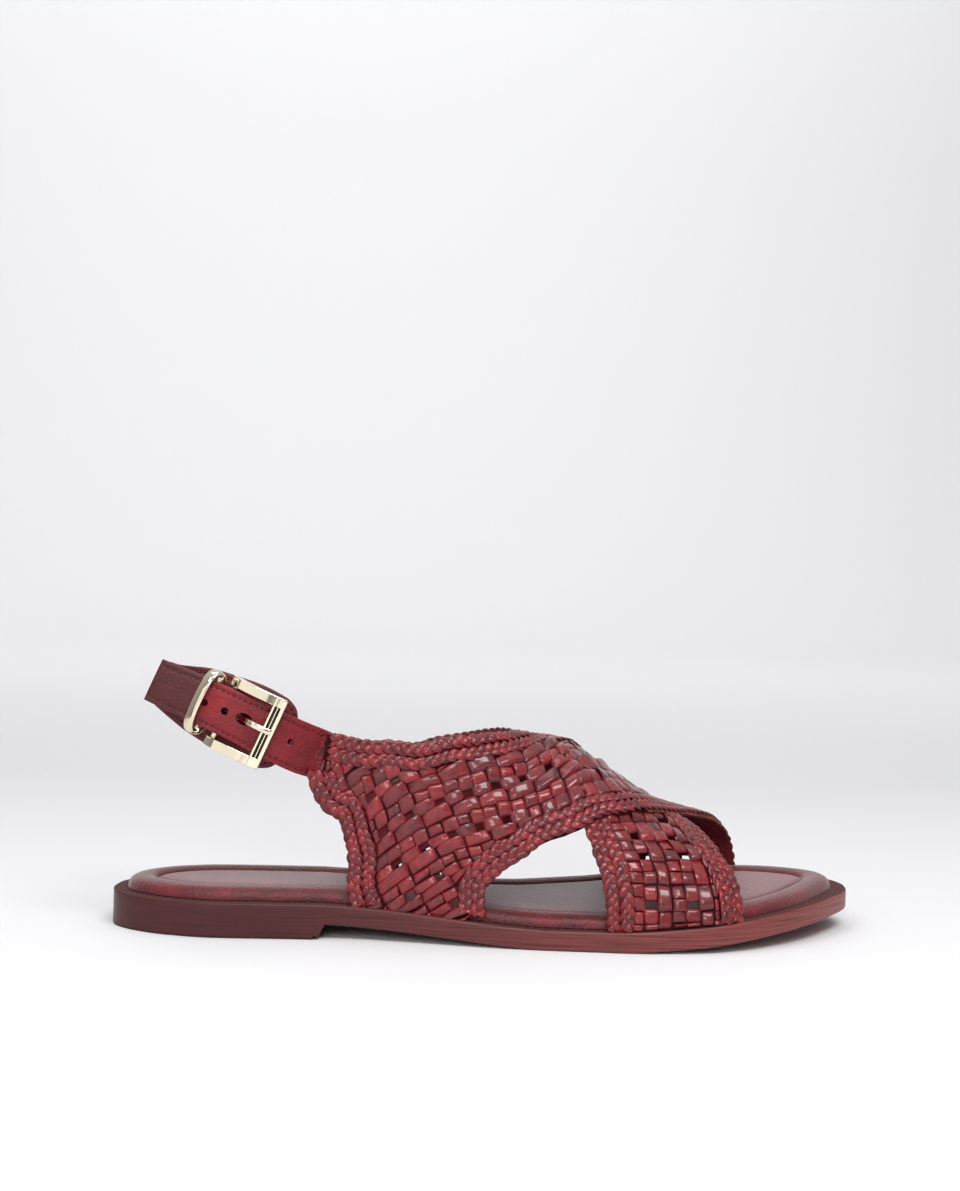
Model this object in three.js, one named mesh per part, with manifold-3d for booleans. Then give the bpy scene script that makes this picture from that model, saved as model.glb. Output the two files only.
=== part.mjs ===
// Huarache sandal, right shoe: two woven bands crossing over the instep, a sling strap with a
// frame buckle round the heel, a padded footbed and a low-heeled sole.
// Millimetres. +X toe, +Y inner (medial) side, +Z up; the origin is the middle of the heel's flat.
import * as THREE from "three";
import { mergeVertices } from "three/addons/utils/BufferGeometryUtils.js";
import Module from "manifold-3d";

const wasm = await Module();
wasm.setup();

// Driving sizes
const SOLE_LENGTH = 250;
const HEEL_REST = 34.5; // from the back of the heel to the middle of its flat
const SOLE_THICK = 6.5;
const SOLE_CHAMFER = 0.6;
const GAP = 0.3; // between pieces that meet
const INSOLE_CREST = 3.9;
const FOOT_INSET = 3.0; // inner face of the woven wall in from the sole's edge
const WALL = 1.8;
const PAD_RISE = 0.8; // woven strips above the wall
const CROSS_BITE = 0.3; // how far the upper band sinks into the one it crosses
const RIDGE_SHIFT = 4; // the instep's crest leans to the inner side
const SECTION_POWER = 2.25;
const COLLAR_BRAID = 7.5;
const STRAP_THICK = 2.2;
const STRAP_TILT = THREE.MathUtils.degToRad(23.5);
const STRAP_ROOT = { s: 67.8, z: 58.4 }; // where the strap leaves the woven wing

// Curves through tables
function through(rows, x, key, value) {
  const n = rows.length;
  if (x <= rows[0][key]) return rows[0][value];
  if (x >= rows[n - 1][key]) return rows[n - 1][value];
  let k = 0;
  while (rows[k + 1][key] < x) k += 1;
  const slope = (a, b) => (rows[b][value] - rows[a][value]) / (rows[b][key] - rows[a][key]);
  const here = slope(k, k + 1);
  const limited = (other) => (other * here <= 0 ? 0 : (2 * other * here) / (other + here));
  const m0 = k > 0 ? limited(slope(k - 1, k)) : here;
  const m1 = k < n - 2 ? limited(slope(k + 1, k + 2)) : here;
  const h = rows[k + 1][key] - rows[k][key];
  const t = (x - rows[k][key]) / h;
  const [t2, t3] = [t * t, t * t * t];
  return (
    rows[k][value] * (2 * t3 - 3 * t2 + 1) +
    rows[k + 1][value] * (3 * t2 - 2 * t3) +
    h * (m0 * (t3 - 2 * t2 + t) + m1 * (t3 - t2))
  );
}

function smooth(edge0, edge1, x) {
  const t = THREE.MathUtils.clamp((x - edge0) / (edge1 - edge0), 0, 1);
  return t * t * (3 - 2 * t);
}

// The sole's plan: half-widths each side of the last's middle line, from the heel back (s)
const PLAN = [
  { s: 0, outer: 0, inner: 0 },
  { s: 1.2, outer: 7.5, inner: 7.5 },
  { s: 4, outer: 12.6, inner: 12.8 },
  { s: 9, outer: 17.6, inner: 18.2 },
  { s: 18, outer: 23.2, inner: 23.4 },
  { s: 35, outer: 28.1, inner: 27 },
  { s: 55, outer: 28.9, inner: 26.6 },
  { s: 75, outer: 29.9, inner: 25.4 },
  { s: 95, outer: 33.4, inner: 25 },
  { s: 115, outer: 38.2, inner: 26.8 },
  { s: 135, outer: 42, inner: 32 },
  { s: 155, outer: 44.6, inner: 38.8 },
  { s: 175, outer: 46.6, inner: 44.6 },
  { s: 190, outer: 46, inner: 46.2 },
  { s: 205, outer: 41.6, inner: 44.9 },
  { s: 220, outer: 33, inner: 40.2 },
  { s: 233, outer: 21.8, inner: 33.4 },
  { s: 242, outer: 11.2, inner: 26 },
  { s: 247, outer: 4, inner: 19.6 },
  { s: 249.2, outer: -1.6, inner: 14.2 },
  { s: 250, outer: -8, inner: 8 },
];
// The underside's height above the ground in front of the heel block: arch, tread, toe spring
const UNDERSIDE = [
  { s: 70, z: 4.8 },
  { s: 90, z: 3.7 },
  { s: 110, z: 2.1 },
  { s: 128, z: 0.6 },
  { s: 140, z: 0 },
  { s: 160, z: 0 },
  { s: 185, z: 1.4 },
  { s: 215, z: 4.3 },
  { s: 235, z: 5.9 },
  { s: 250, z: 6.7 },
];
const BREAST = { foot: 67.8, top: 70.2 }; // the heel block's front face leans forward
// Height of the last's crest above the sole, at sections from the wing forward
const CREST = [
  { s: 60, h: 112 },
  { s: 75, h: 102 },
  { s: 90, h: 92 },
  { s: 105, h: 80 },
  { s: 120, h: 66 },
  { s: 130, h: 58 },
  { s: 139, h: 54 },
  { s: 150, h: 52 },
  { s: 159, h: 47.3 },
  { s: 169, h: 40.3 },
  { s: 176, h: 35.2 },
  { s: 186, h: 29.4 },
  { s: 200, h: 24 },
  { s: 215, h: 19.4 },
];

const scaled = (s) => (s * 250) / SOLE_LENGTH;
const planOuter = (s) => -through(PLAN, scaled(s), "s", "outer");
const planInner = (s) => through(PLAN, scaled(s), "s", "inner");
const underside = (s) => through(UNDERSIDE, scaled(s), "s", "z");
const soleTop = (s) => underside(s) + SOLE_THICK;
const world = (s, y, z) => [s - HEEL_REST, y, z];

// Solids from lists of vertices
function manifoldOf(positions, triangles) {
  const g = new THREE.BufferGeometry();
  g.setAttribute("position", new THREE.Float32BufferAttribute(positions.flat(), 3));
  g.setIndex(triangles.flat());
  return solidOf(g);
}

function solidOf(geometry) {
  const g = geometry.clone();
  g.deleteAttribute("normal");
  g.deleteAttribute("uv");
  const m = mergeVertices(g, 1e-4);
  const index = Array.from(m.index.array);
  const kept = [];
  for (let i = 0; i < index.length; i += 3) {
    const [a, b, c] = index.slice(i, i + 3);
    if (a !== b && b !== c && c !== a) kept.push(a, b, c);
  }
  return new wasm.Manifold(
    new wasm.Mesh({
      numProp: 3,
      vertProperties: m.attributes.position.array,
      triVerts: new Uint32Array(kept),
    }),
  );
}

function geometryOf(solid) {
  const m = solid.getMesh();
  const positions = new Float32Array(m.numVert * 3);
  for (let i = 0; i < m.numVert; i += 1) {
    positions.set(m.vertProperties.subarray(i * m.numProp, i * m.numProp + 3), i * 3);
  }
  const g = new THREE.BufferGeometry();
  g.setAttribute("position", new THREE.BufferAttribute(positions, 3));
  g.setIndex(new THREE.BufferAttribute(m.triVerts, 1));
  g.computeVertexNormals();
  return g;
}

// A cap as a fan from its first corner, for outlines that bulge everywhere
function fanned(ring) {
  return ring.slice(2).map((_, k) => [0, k + 1, k + 2]);
}

// A cap cut ear by ear, for outlines with hollows, seen along the axis it faces most
function clipped(ring) {
  const turned = [0, 0, 0];
  ring.forEach((p, k) => {
    const q = ring[(k + 1) % ring.length];
    turned[0] += p[1] * q[2] - p[2] * q[1];
    turned[1] += p[2] * q[0] - p[0] * q[2];
    turned[2] += p[0] * q[1] - p[1] * q[0];
  });
  const size = turned.map(Math.abs);
  const along = size.indexOf(Math.max(...size));
  const [u, v] = [(along + 1) % 3, (along + 2) % 3];
  const flat = ring.map((p) => new THREE.Vector2(p[u], p[v]));
  const signOf = (a, b, c) =>
    Math.sign((b.x - a.x) * (c.y - a.y) - (b.y - a.y) * (c.x - a.x));
  return THREE.ShapeUtils.triangulateShape(flat, []).map(([a, b, c]) =>
    signOf(flat[a], flat[b], flat[c]) === Math.sign(turned[along]) ? [a, b, c] : [a, c, b],
  );
}

// Rings of equal length joined in order, capped at both ends or closed on themselves
function loft(rings, closed = false, capOf = fanned) {
  const n = rings[0].length;
  const positions = rings.flat();
  const triangles = [];
  const last = closed ? rings.length : rings.length - 1;
  for (let r = 0; r < last; r += 1) {
    const [p, q] = [r * n, ((r + 1) % rings.length) * n];
    for (let k = 0; k < n; k += 1) {
      const l = (k + 1) % n;
      triangles.push([p + k, q + k, q + l], [p + k, q + l, p + l]);
    }
  }
  if (!closed) {
    const end = (rings.length - 1) * n;
    capOf(rings[0]).forEach(([a, b, c]) => triangles.push([a, b, c]));
    capOf(rings.at(-1)).forEach(([a, b, c]) => triangles.push([end + a, end + c, end + b]));
  }
  const solid = manifoldOf(positions, triangles);
  return solid.volume() < 0
    ? manifoldOf(positions, triangles.map(([a, b, c]) => [a, c, b]))
    : solid;
}

// A two-faced wall from cells: corners named by key, pads fanned about a raised middle
function wallOf(cells, outerAt, innerAt, middleAt) {
  const index = new Map();
  const positions = [];
  const triangles = [];
  const vertex = (side, point) => {
    const key = side + point.map((v) => v.toFixed(5)).join();
    if (!index.has(key)) {
      index.set(key, positions.length);
      positions.push(side === "o" ? outerAt(...point) : innerAt(...point));
    }
    return index.get(key);
  };
  const edges = new Map();
  for (const cell of cells) {
    const same = (a, b) => Math.abs(a[0] - b[0]) < 1e-6 && Math.abs(a[1] - b[1]) < 1e-6;
    const ring = cell.corners.filter((c, k, all) => !same(c, all[(k + 1) % all.length]));
    if (ring.length < 3) continue;
    const outer = ring.map((c) => vertex("o", c));
    const inner = ring.map((c) => vertex("i", c));
    const middle = positions.length;
    positions.push(middleAt(cell, ring));
    outer.forEach((v, k) => {
      const w = (k + 1) % ring.length;
      triangles.push([middle, v, outer[w]]);
      edges.set(v + "_" + outer[w], [v, outer[w], inner[k], inner[w]]);
    });
    for (let k = 1; k < ring.length - 1; k += 1) {
      triangles.push([inner[0], inner[k + 1], inner[k]]);
    }
  }
  for (const [a, b, c, d] of edges.values()) {
    if (!edges.has(b + "_" + a)) triangles.push([b, a, c], [b, c, d]);
  }
  const solid = manifoldOf(positions, triangles);
  return solid.volume() < 0
    ? manifoldOf(positions, triangles.map(([a, b, c]) => [a, c, b]))
    : solid;
}

// Outsole: one moulding with heel block, arch, toe spring and chamfered edges
function stations() {
  const rows = [0, 0.15, 0.6, 1.4, 2.6, 4.2, 6.5, 9.5, 13, 18, 24, 31, 39, 47, 55, 62];
  rows.push(BREAST.foot, BREAST.top);
  for (let s = 78; s <= 206; s += 8) rows.push(s);
  rows.push(213, 219, 225, 230, 234.5, 238.5, 242, 244.6, 246.6, 248.2, 249.2, 249.8, 250);
  return rows.map((s) => (s * SOLE_LENGTH) / 250);
}

function soleRing(s) {
  const [yo, yi] = [planOuter(s), planInner(s)];
  const half = (yi - yo) / 2;
  const cut = Math.min(SOLE_CHAMFER, half * 0.4);
  const top = soleTop(s);
  const bottom = s <= BREAST.foot + 1e-6 ? 0 : underside(s);
  return [
    world(s, yo + cut, bottom),
    world(s, yo, bottom + SOLE_CHAMFER),
    world(s, yo, top - SOLE_CHAMFER),
    world(s, yo + cut, top),
    world(s, yi - cut, top),
    world(s, yi, top - SOLE_CHAMFER),
    world(s, yi, bottom + SOLE_CHAMFER),
    world(s, yi - cut, bottom),
  ];
}

function outsole() {
  const rows = stations();
  const rings = rows.map(soleRing);
  rings[0] = rings[0].map(([x, y, z], k) => [x, y + (k > 3 ? 2.4 : -2.4), z]);
  const end = rings.length - 1;
  rings[end] = rings[end].map(([x, y, z], k) => [x, y + (k > 3 ? 1.2 : -1.2), z]);
  return loft(rings);
}

// Footbed: a puffed rim, a groove, and a flatter middle panel
const FOOTBED = [
  { inset: 0, rise: 0 },
  { inset: 0.1, rise: 1.1 },
  { inset: 0.9, rise: 2.4 },
  { inset: 2.9, rise: 3.6 },
  { inset: 5.4, rise: 3.9 },
  { inset: 7.9, rise: 3.4 },
  { inset: 9.2, rise: 2.2 },
  { inset: 10.3, rise: 2.9 },
  { inset: 11.6, rise: 3.1 },
];

function soleLoop(count) {
  const rows = stations();
  const back = rows.slice(1, -1).reverse();
  const dense = [
    ...rows.map((s) => ({ s, y: planOuter(s) })),
    ...back.map((s) => ({ s, y: planInner(s) })),
  ];
  const lengths = [0];
  for (let k = 1; k <= dense.length; k += 1) {
    const [p, q] = [dense[k - 1], dense[k % dense.length]];
    lengths.push(lengths[k - 1] + Math.hypot(q.s - p.s, q.y - p.y));
  }
  return Array.from({ length: count }, (_, n) => {
    const target = (lengths[dense.length] * n) / count;
    let k = 0;
    while (lengths[k + 1] <= target) k += 1;
    const part = (target - lengths[k]) / (lengths[k + 1] - lengths[k]);
    const [p, q] = [dense[k], dense[(k + 1) % dense.length]];
    return { s: p.s + (q.s - p.s) * part, y: p.y + (q.y - p.y) * part };
  });
}

function insetLoop(loop, distanceAt) {
  const n = loop.length;
  const moved = loop.map((p, k) => {
    const [a, b] = [loop[(k + n - 1) % n], loop[(k + 1) % n]];
    const [ds, dy] = [b.s - a.s, b.y - a.y];
    const length = Math.hypot(ds, dy);
    const distance = distanceAt(p.s);
    return { s: p.s - (dy / length) * distance, y: p.y + (ds / length) * distance };
  });
  const eased = (k, key) =>
    (moved[(k + n - 1) % n][key] + 4 * moved[k][key] + moved[(k + 1) % n][key]) / 6;
  return moved.map((_, k) => ({ s: eased(k, "s"), y: eased(k, "y") }));
}

const LEDGE = { side: 3.6, back: 4.6, toe: 5.4 }; // sole left bare round the footbed

function ledge(s) {
  const back = (LEDGE.back - LEDGE.side) * (1 - smooth(2, 30, s));
  const toe = (LEDGE.toe - LEDGE.side) * smooth(SOLE_LENGTH - 30, SOLE_LENGTH - 3, s);
  return LEDGE.side + back + toe;
}

function insole() {
  const count = 84;
  const rings = [];
  let loop = insetLoop(soleLoop(count), ledge);
  let reached = 0;
  for (const { inset, rise } of FOOTBED) {
    const step = inset - reached;
    if (step > 0) loop = insetLoop(loop, () => step);
    reached = inset;
    rings.push(
      loop.map(({ s, y }) => world(s, y, soleTop(s) + GAP + (rise * INSOLE_CREST) / 3.9)),
    );
  }
  const positions = rings.flat();
  const triangles = [];
  for (let r = 0; r + 1 < rings.length; r += 1) {
    for (let k = 0; k < count; k += 1) {
      const l = (k + 1) % count;
      const [p, q] = [r * count, (r + 1) * count];
      triangles.push([p + k, p + l, q + l], [p + k, q + l, q + k]);
    }
  }
  const cap = (offset, flip) => {
    for (let k = 0; k < count / 2; k += 1) {
      const [a, b] = [offset + k, offset + k + 1];
      const [c, d] = [offset + count - k - 1, offset + ((count - k) % count)];
      for (const [u, v, w] of [[a, b, c], [a, c, d]]) {
        if (u !== v && v !== w && w !== u) triangles.push(flip ? [u, w, v] : [u, v, w]);
      }
    }
  };
  cap(0, true);
  cap((rings.length - 1) * count, false);
  const solid = manifoldOf(positions, triangles);
  return solid.volume() < 0
    ? manifoldOf(positions, triangles.map(([a, b, c]) => [a, c, b]))
    : solid;
}

// The last: superellipse sections; t runs 0..1 from the outer foot line over the crest
const SECTION_STEPS = 72;
const sectionCache = new Map();

function sectionPoint(s, theta, offset) {
  const yo = planOuter(s) + FOOT_INSET;
  const yi = planInner(s) - FOOT_INSET;
  const a = (yi - yo) / 2 + offset;
  const h = through(CREST, scaled(s), "s", "h") + offset;
  const [c, n] = [Math.cos(theta), Math.max(Math.sin(theta), 0)];
  const power = SECTION_POWER;
  const rho = (Math.pow(Math.abs(c) / a, power) + Math.pow(n / h, power)) ** (-1 / power);
  const lean = RIDGE_SHIFT * n * n * Math.min(1, 52.5 / h);
  return world(s, (yo + yi) / 2 - rho * c + lean, soleTop(s) + GAP + rho * n);
}

function sectionTable(s) {
  const key = s.toFixed(4);
  if (!sectionCache.has(key)) {
    const lengths = [0];
    let before = sectionPoint(s, 0, 0);
    for (let k = 1; k <= SECTION_STEPS; k += 1) {
      const p = sectionPoint(s, (Math.PI * k) / SECTION_STEPS, 0);
      lengths.push(lengths[k - 1] + Math.hypot(p[1] - before[1], p[2] - before[2]));
      before = p;
    }
    sectionCache.set(key, lengths);
  }
  return sectionCache.get(key);
}

function lastPoint(s, t, offset) {
  const lengths = sectionTable(s);
  const target = THREE.MathUtils.clamp(t, 0, 1) * lengths[SECTION_STEPS];
  let k = 0;
  while (k < SECTION_STEPS - 1 && lengths[k + 1] < target) k += 1;
  const part = (target - lengths[k]) / (lengths[k + 1] - lengths[k]);
  const theta = (Math.PI * (k + part)) / SECTION_STEPS;
  return sectionPoint(s, theta, offset);
}

// The weave of a band, one row per hole column from the wing to the far foot.
// s2,t2 and s3,t3: two neighbouring hole rows on the last; collar, front: the band's edges, in
// row pitches from the first of these.
const WEAVE = [
  { col: -2, s2: 72.4, t2: 0.045, s3: 75.5, t3: -0.004, collar: -3.3, front: 0.92 },
  { col: -1, s2: 80.5, t2: 0.079, s3: 84.2, t3: 0.033, collar: -3, front: 1.72 },
  { col: 0, s2: 88.6, t2: 0.113, s3: 92.9, t3: 0.07, collar: -2.5, front: 2.63 },
  { col: 1, s2: 96.7, t2: 0.147, s3: 101.6, t3: 0.107, collar: -2.15, front: 3.68 },
  { col: 2, s2: 106.1, t2: 0.184, s3: 110.4, t3: 0.142, collar: -1.75, front: 3.0 },
  { col: 3, s2: 115, t2: 0.223, s3: 118.9, t3: 0.173, collar: -1.6, front: 2.45 },
  { col: 4, s2: 124.1, t2: 0.267, s3: 127.5, t3: 0.206, collar: -1.45, front: 2.15 },
  { col: 5, s2: 133.1, t2: 0.307, s3: 136.3, t3: 0.24, collar: -1.6, front: 1.9 },
  { col: 6, s2: 141.8, t2: 0.357, s3: 145.2, t3: 0.273, collar: -1.6, front: 1.85 },
  { col: 7, s2: 149, t2: 0.405, s3: 155, t3: 0.312, collar: -1.3, front: 1.65 },
  { col: 8, s2: 155, t2: 0.46, s3: 162.8, t3: 0.37, collar: -1.15, front: 1.75 },
  { col: 9, s2: 159, t2: 0.53, s3: 168.8, t3: 0.435, collar: -0.95, front: 1.7 },
  { col: 10, s2: 162, t2: 0.595, s3: 173.3, t3: 0.505, collar: -0.9, front: 1.7 },
  { col: 11, s2: 164.5, t2: 0.657, s3: 177.2, t3: 0.58, collar: -0.93, front: 1.68 },
  { col: 12, s2: 166, t2: 0.719, s3: 180, t3: 0.657, collar: -0.95, front: 1.8 },
  { col: 13, s2: 168.7, t2: 0.77, s3: 181.7, t3: 0.735, collar: -1.1, front: 2 },
  { col: 14, s2: 171.1, t2: 0.82, s3: 184.6, t3: 0.797, collar: -1.1, front: 1.95 },
  { col: 15, s2: 172.7, t2: 0.875, s3: 185.5, t3: 0.868, collar: -1.15, front: 2.18 },
  { col: 16, s2: 172.9, t2: 0.94, s3: 186.4, t3: 0.943, collar: -1, front: 2.2 },
  { col: 17, s2: 173, t2: 1, s3: 186.6, t3: 1, collar: -1, front: 2.2 },
];
// Where the wing's rear edge lies and how wide its braid is, in columns, by row pitch
const REAR = [
  { row: -3, col: -1, braid: 0.3 },
  { row: -2.5, col: -1.45, braid: 0.35 },
  { row: -2, col: -1.95, braid: 0.7 },
  { row: -1.5, col: -1.6, braid: 0.4 },
  { row: -1, col: -1.33, braid: 0.9 },
  { row: 0, col: -1.33, braid: 0.9 },
  { row: 1, col: -1.7, braid: 0.9 },
  { row: 2.6, col: -1.8, braid: 0.9 },
];
const FOOT_CORNER = 1.15; // column where the front edge leaves the sole
const LAST_COLUMN = 17;
const SHUT_COLUMN = 15; // column woven without gaps, between the two lowest open ones

// Each band: mirrored turns it to the other side, wingDrop lowers its wing, lift carries it over
// the band that it crosses, reach moves its far foot towards the toe
const BANDS = {
  over: { mirrored: false, wingDrop: 0, lift: WALL - CROSS_BITE, reach: 15 },
  under: { mirrored: true, wingDrop: 0.07, lift: 0, reach: 0 },
};

const weave = (col, value) => through(WEAVE, col, "col", value);
const rowPitch = (col) => {
  const a = lastPoint(weave(col, "s2"), weave(col, "t2"), 0);
  const b = lastPoint(weave(col, "s3"), weave(col, "t3"), 0);
  return Math.hypot(a[0] - b[0], a[1] - b[1], a[2] - b[2]);
};

function onLast(band, col, row) {
  const reach = band.reach * smooth(7, 15, col);
  const s = weave(col, "s2") + row * (weave(col, "s3") - weave(col, "s2")) + reach;
  const t0 = weave(col, "t2") + row * (weave(col, "t3") - weave(col, "t2"));
  const drop = 1 - band.wingDrop * (1 - smooth(3, 8, col)) * smooth(0, 0.1, t0);
  const t = THREE.MathUtils.clamp(t0 * drop, 0, 1);
  return { s, t: band.mirrored ? 1 - t : t };
}

function bandPoint(band, col, row, offset) {
  const { s, t } = onLast(band, col, row);
  const lift = band.lift * smooth(0.06, 0.2, t) * smooth(0.06, 0.2, 1 - t);
  return lastPoint(s, t, offset + lift);
}

function footRow(col) {
  return -weave(col, "t2") / (weave(col, "t3") - weave(col, "t2"));
}

function rowLimits(col) {
  const pitch = rowPitch(col);
  const collar = weave(col, "collar");
  const braid = COLLAR_BRAID / pitch;
  if (col <= FOOT_CORNER) {
    const foot = footRow(col);
    return { collar, top: collar + braid, bottom: foot, front: foot };
  }
  const corner = smooth(FOOT_CORNER, FOOT_CORNER + 0.8, col);
  const front = weave(col, "front");
  return { collar, top: collar + braid, bottom: front - braid * corner, front };
}

// Column lines: the rear braid's two strips, then half pitches, then the far foot
function columnLines(row) {
  const rear = through(REAR, row, "row", "col");
  const inner = rear + through(REAR, row, "row", "braid");
  const lines = [rear, (rear + inner) / 2, inner];
  for (let col = -0.75; col < LAST_COLUMN; col += 0.5) {
    lines.push(col - inner < 0.1 ? inner : col);
  }
  lines.push(LAST_COLUMN);
  return lines;
}

const ROW_STEPS = 20;
const FIRST_ROW = -2.5;

function rowLines(col) {
  const { collar, top, bottom, front } = rowLimits(col);
  const lines = [collar, (collar + top) / 2];
  for (let k = 0; k <= ROW_STEPS; k += 1) {
    const row = FIRST_ROW + k / 3 + 1e-9;
    let held = THREE.MathUtils.clamp(row, top, Math.max(top, bottom));
    if (Math.abs(held - top) < 0.1) held = top;
    if (Math.abs(held - bottom) < 0.1) held = bottom;
    lines.push(held);
  }
  lines.push((bottom + front) / 2, front);
  return lines;
}

function edgeCurve(value) {
  const rows = [];
  for (let col = -1; col <= LAST_COLUMN; col += 0.5) {
    const { s, t } = onLast(BANDS.over, col, rowLimits(col)[value]);
    if (!rows.length || t > rows[rows.length - 1].t + 1e-4) rows.push({ s, t });
  }
  return rows;
}

const overRear = edgeCurve("collar");
const overFront = edgeCurve("front");

function underOver(s, t) {
  return s > through(overRear, t, "t", "s") - 1 && s < through(overFront, t, "t", "s") + 1;
}

function bandCells(band) {
  const columns = columnLines(0).length;
  const rows = rowLines(0).length;
  const grid = [];
  for (let i = 0; i < columns; i += 1) {
    grid.push([]);
    for (let j = 0; j < rows; j += 1) {
      let col = columnLines(0)[i];
      let row = rowLines(Math.max(col, -1.4))[j];
      for (let pass = 0; pass < 3; pass += 1) {
        col = columnLines(row)[i];
        row = rowLines(Math.max(col, -1.4))[j];
      }
      grid[i].push([col, row]);
    }
  }
  const cells = [];
  for (let i = 0; i + 1 < columns; i += 1) {
    for (let j = 0; j + 1 < rows; j += 1) {
      const corners = [grid[i][j], grid[i][j + 1], grid[i + 1][j + 1], grid[i + 1][j]];
      const step = FIRST_ROW + (j - 2) / 3 + 1 / 6;
      const column = -1 + (i - 2) * 0.5;
      const holeSpot =
        Math.abs(step - Math.round(step)) < 0.05 &&
        Number.isInteger(column) &&
        column !== SHUT_COLUMN;
      const whole =
        i > 1 && i < columns - 2 && j > 2 && j < rows - 4 &&
        Math.abs(corners[3][0] - corners[0][0] - 0.5) < 0.06 &&
        Math.abs(corners[1][1] - corners[0][1] - 1 / 3) < 0.01 &&
        Math.abs(corners[2][1] - corners[3][1] - 1 / 3) < 0.01 &&
        clearOf(corners, grid, i, j);
      const { s, t } = onLast(band, column, step);
      const hidden = band.mirrored && underOver(s, t);
      if (holeSpot && whole && !hidden) continue;
      cells.push({ corners, i, j });
    }
  }
  return cells;
}

function clearOf(corners, grid, i, j) {
  const before = [grid[i][j][1] - grid[i][j - 1][1], grid[i + 1][j][1] - grid[i + 1][j - 1][1]];
  const after = [grid[i][j + 2][1] - grid[i][j + 1][1], grid[i + 1][j + 2][1] - grid[i + 1][j + 1][1]];
  return [...before, ...after].every((v) => v > 0.12);
}

function wovenBand(band) {
  const middleAt = (cell, ring) => {
    const col = ring.reduce((sum, c) => sum + c[0], 0) / ring.length;
    const row = ring.reduce((sum, c) => sum + c[1], 0) / ring.length;
    const alternate = (cell.i + cell.j) % 2 ? 1 : 0.65;
    return bandPoint(band, col, row, WALL + PAD_RISE * alternate);
  };
  return wallOf(
    bandCells(band),
    (col, row) => bandPoint(band, col, row, WALL),
    (col, row) => bandPoint(band, col, row, 0),
    middleAt,
  );
}

function upper() {
  return wovenBand(BANDS.over).add(wovenBand(BANDS.under));
}

// Strap frame: a backwards and up from the wing, b across the shoe, c up the strap's width
function fromStrap(a, b, c) {
  const [cos, sin] = [Math.cos(STRAP_TILT), Math.sin(STRAP_TILT)];
  return world(STRAP_ROOT.s - a * cos + c * sin, b, STRAP_ROOT.z + a * sin + c * cos);
}

// A leather strap: rows give its middle line and its edges
function strap(rows, thick, lanes = 2) {
  const rings = rows.map((row, k) => {
    const [p, q] = [rows[Math.max(k - 1, 0)], rows[Math.min(k + 1, rows.length - 1)]];
    const length = Math.hypot(q.a - p.a, q.b - p.b);
    const [na, nb] = [-(q.b - p.b) / length, (q.a - p.a) / length];
    const ring = [];
    for (let side = -1; side <= 1; side += 2) {
      for (let k2 = 0; k2 <= lanes; k2 += 1) {
        const share = side < 0 ? k2 / lanes : 1 - k2 / lanes;
        const c = row.low + (row.high - row.low) * share;
        const b = row.b + (nb * side * thick) / 2 + (row.lean ?? 0) * c;
        ring.push(fromStrap(row.a + (na * side * thick) / 2, b, c));
      }
    }
    return ring;
  });
  return loft(rings);
}

function refined(rows, step) {
  const lengths = [0];
  for (let k = 1; k < rows.length; k += 1) {
    const d = Math.hypot(rows[k].a - rows[k - 1].a, rows[k].b - rows[k - 1].b);
    lengths.push(lengths[k - 1] + d);
  }
  const keyed = rows.map((row, k) => ({ ...row, along: lengths[k] }));
  const total = lengths[lengths.length - 1];
  const count = Math.round(total / step);
  return Array.from({ length: count + 1 }, (_, k) => {
    const along = (total * k) / count;
    const at = (value) => through(keyed, along, "along", value);
    return { a: at("a"), b: at("b"), low: at("low"), high: at("high"), lean: at("lean") };
  });
}

function puncher(a, b, c, radiusA, radiusC) {
  const rings = [-6, 6].map((depth) =>
    Array.from({ length: 12 }, (_, k) => {
      const angle = (2 * Math.PI * k) / 12;
      return fromStrap(a + radiusA * Math.cos(angle), b + depth, c + radiusC * Math.sin(angle));
    }),
  );
  return loft(rings);
}

const FRONT_STRAP = [
  { a: -6, b: -22.8, low: -7.6, high: 7.4, lean: 0.1 },
  { a: 1, b: -23.1, low: -8, high: 8, lean: 0.1 },
  { a: 6, b: -25.2, low: -8.4, high: 8, lean: 0.07 },
  { a: 12, b: -27.8, low: -8.2, high: 8.1, lean: 0.02 },
  { a: 19, b: -29.7, low: -7.8, high: 8.2, lean: 0 },
  { a: 27, b: -30.4, low: -7.1, high: 8.3, lean: 0 },
  { a: 34, b: -30.6, low: -6.8, high: 8.4, lean: 0 },
  { a: 43, b: -30.4, low: -6.6, high: 8.4, lean: 0 },
  { a: 51, b: -29.4, low: -6.6, high: 8, lean: 0 },
  { a: 58.6, b: -28, low: -6.6, high: 7.5, lean: 0 },
];
const PIVOT = { a: 34, b: -26.8, radius: 1 };
const strapLine = (a) => through(FRONT_STRAP, a, "a", "b");
// Holes in the strap, from the pivot; the long one lets the prong through
const STRAP_HOLES = [
  { back: -23.2, c: 0.3, ra: 1.2, rc: 1.2 },
  { back: -14.8, c: 0.8, ra: 1.2, rc: 1.2 },
  { back: -6.6, c: 1.1, ra: 2.75, rc: 1.9 },
  { back: 0, c: 0.9, ra: 1.2, rc: 1.2 },
  { back: 7, c: 0.7, ra: 1.2, rc: 1.2 },
];

function frontStrap() {
  const rows = refined(FRONT_STRAP, 4);
  let solid = strap(rows, STRAP_THICK);
  for (const hole of STRAP_HOLES) {
    const a = PIVOT.a + hole.back;
    solid = solid.subtract(puncher(a, strapLine(a), hole.c, hole.ra, hole.rc));
  }
  return solid;
}

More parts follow.
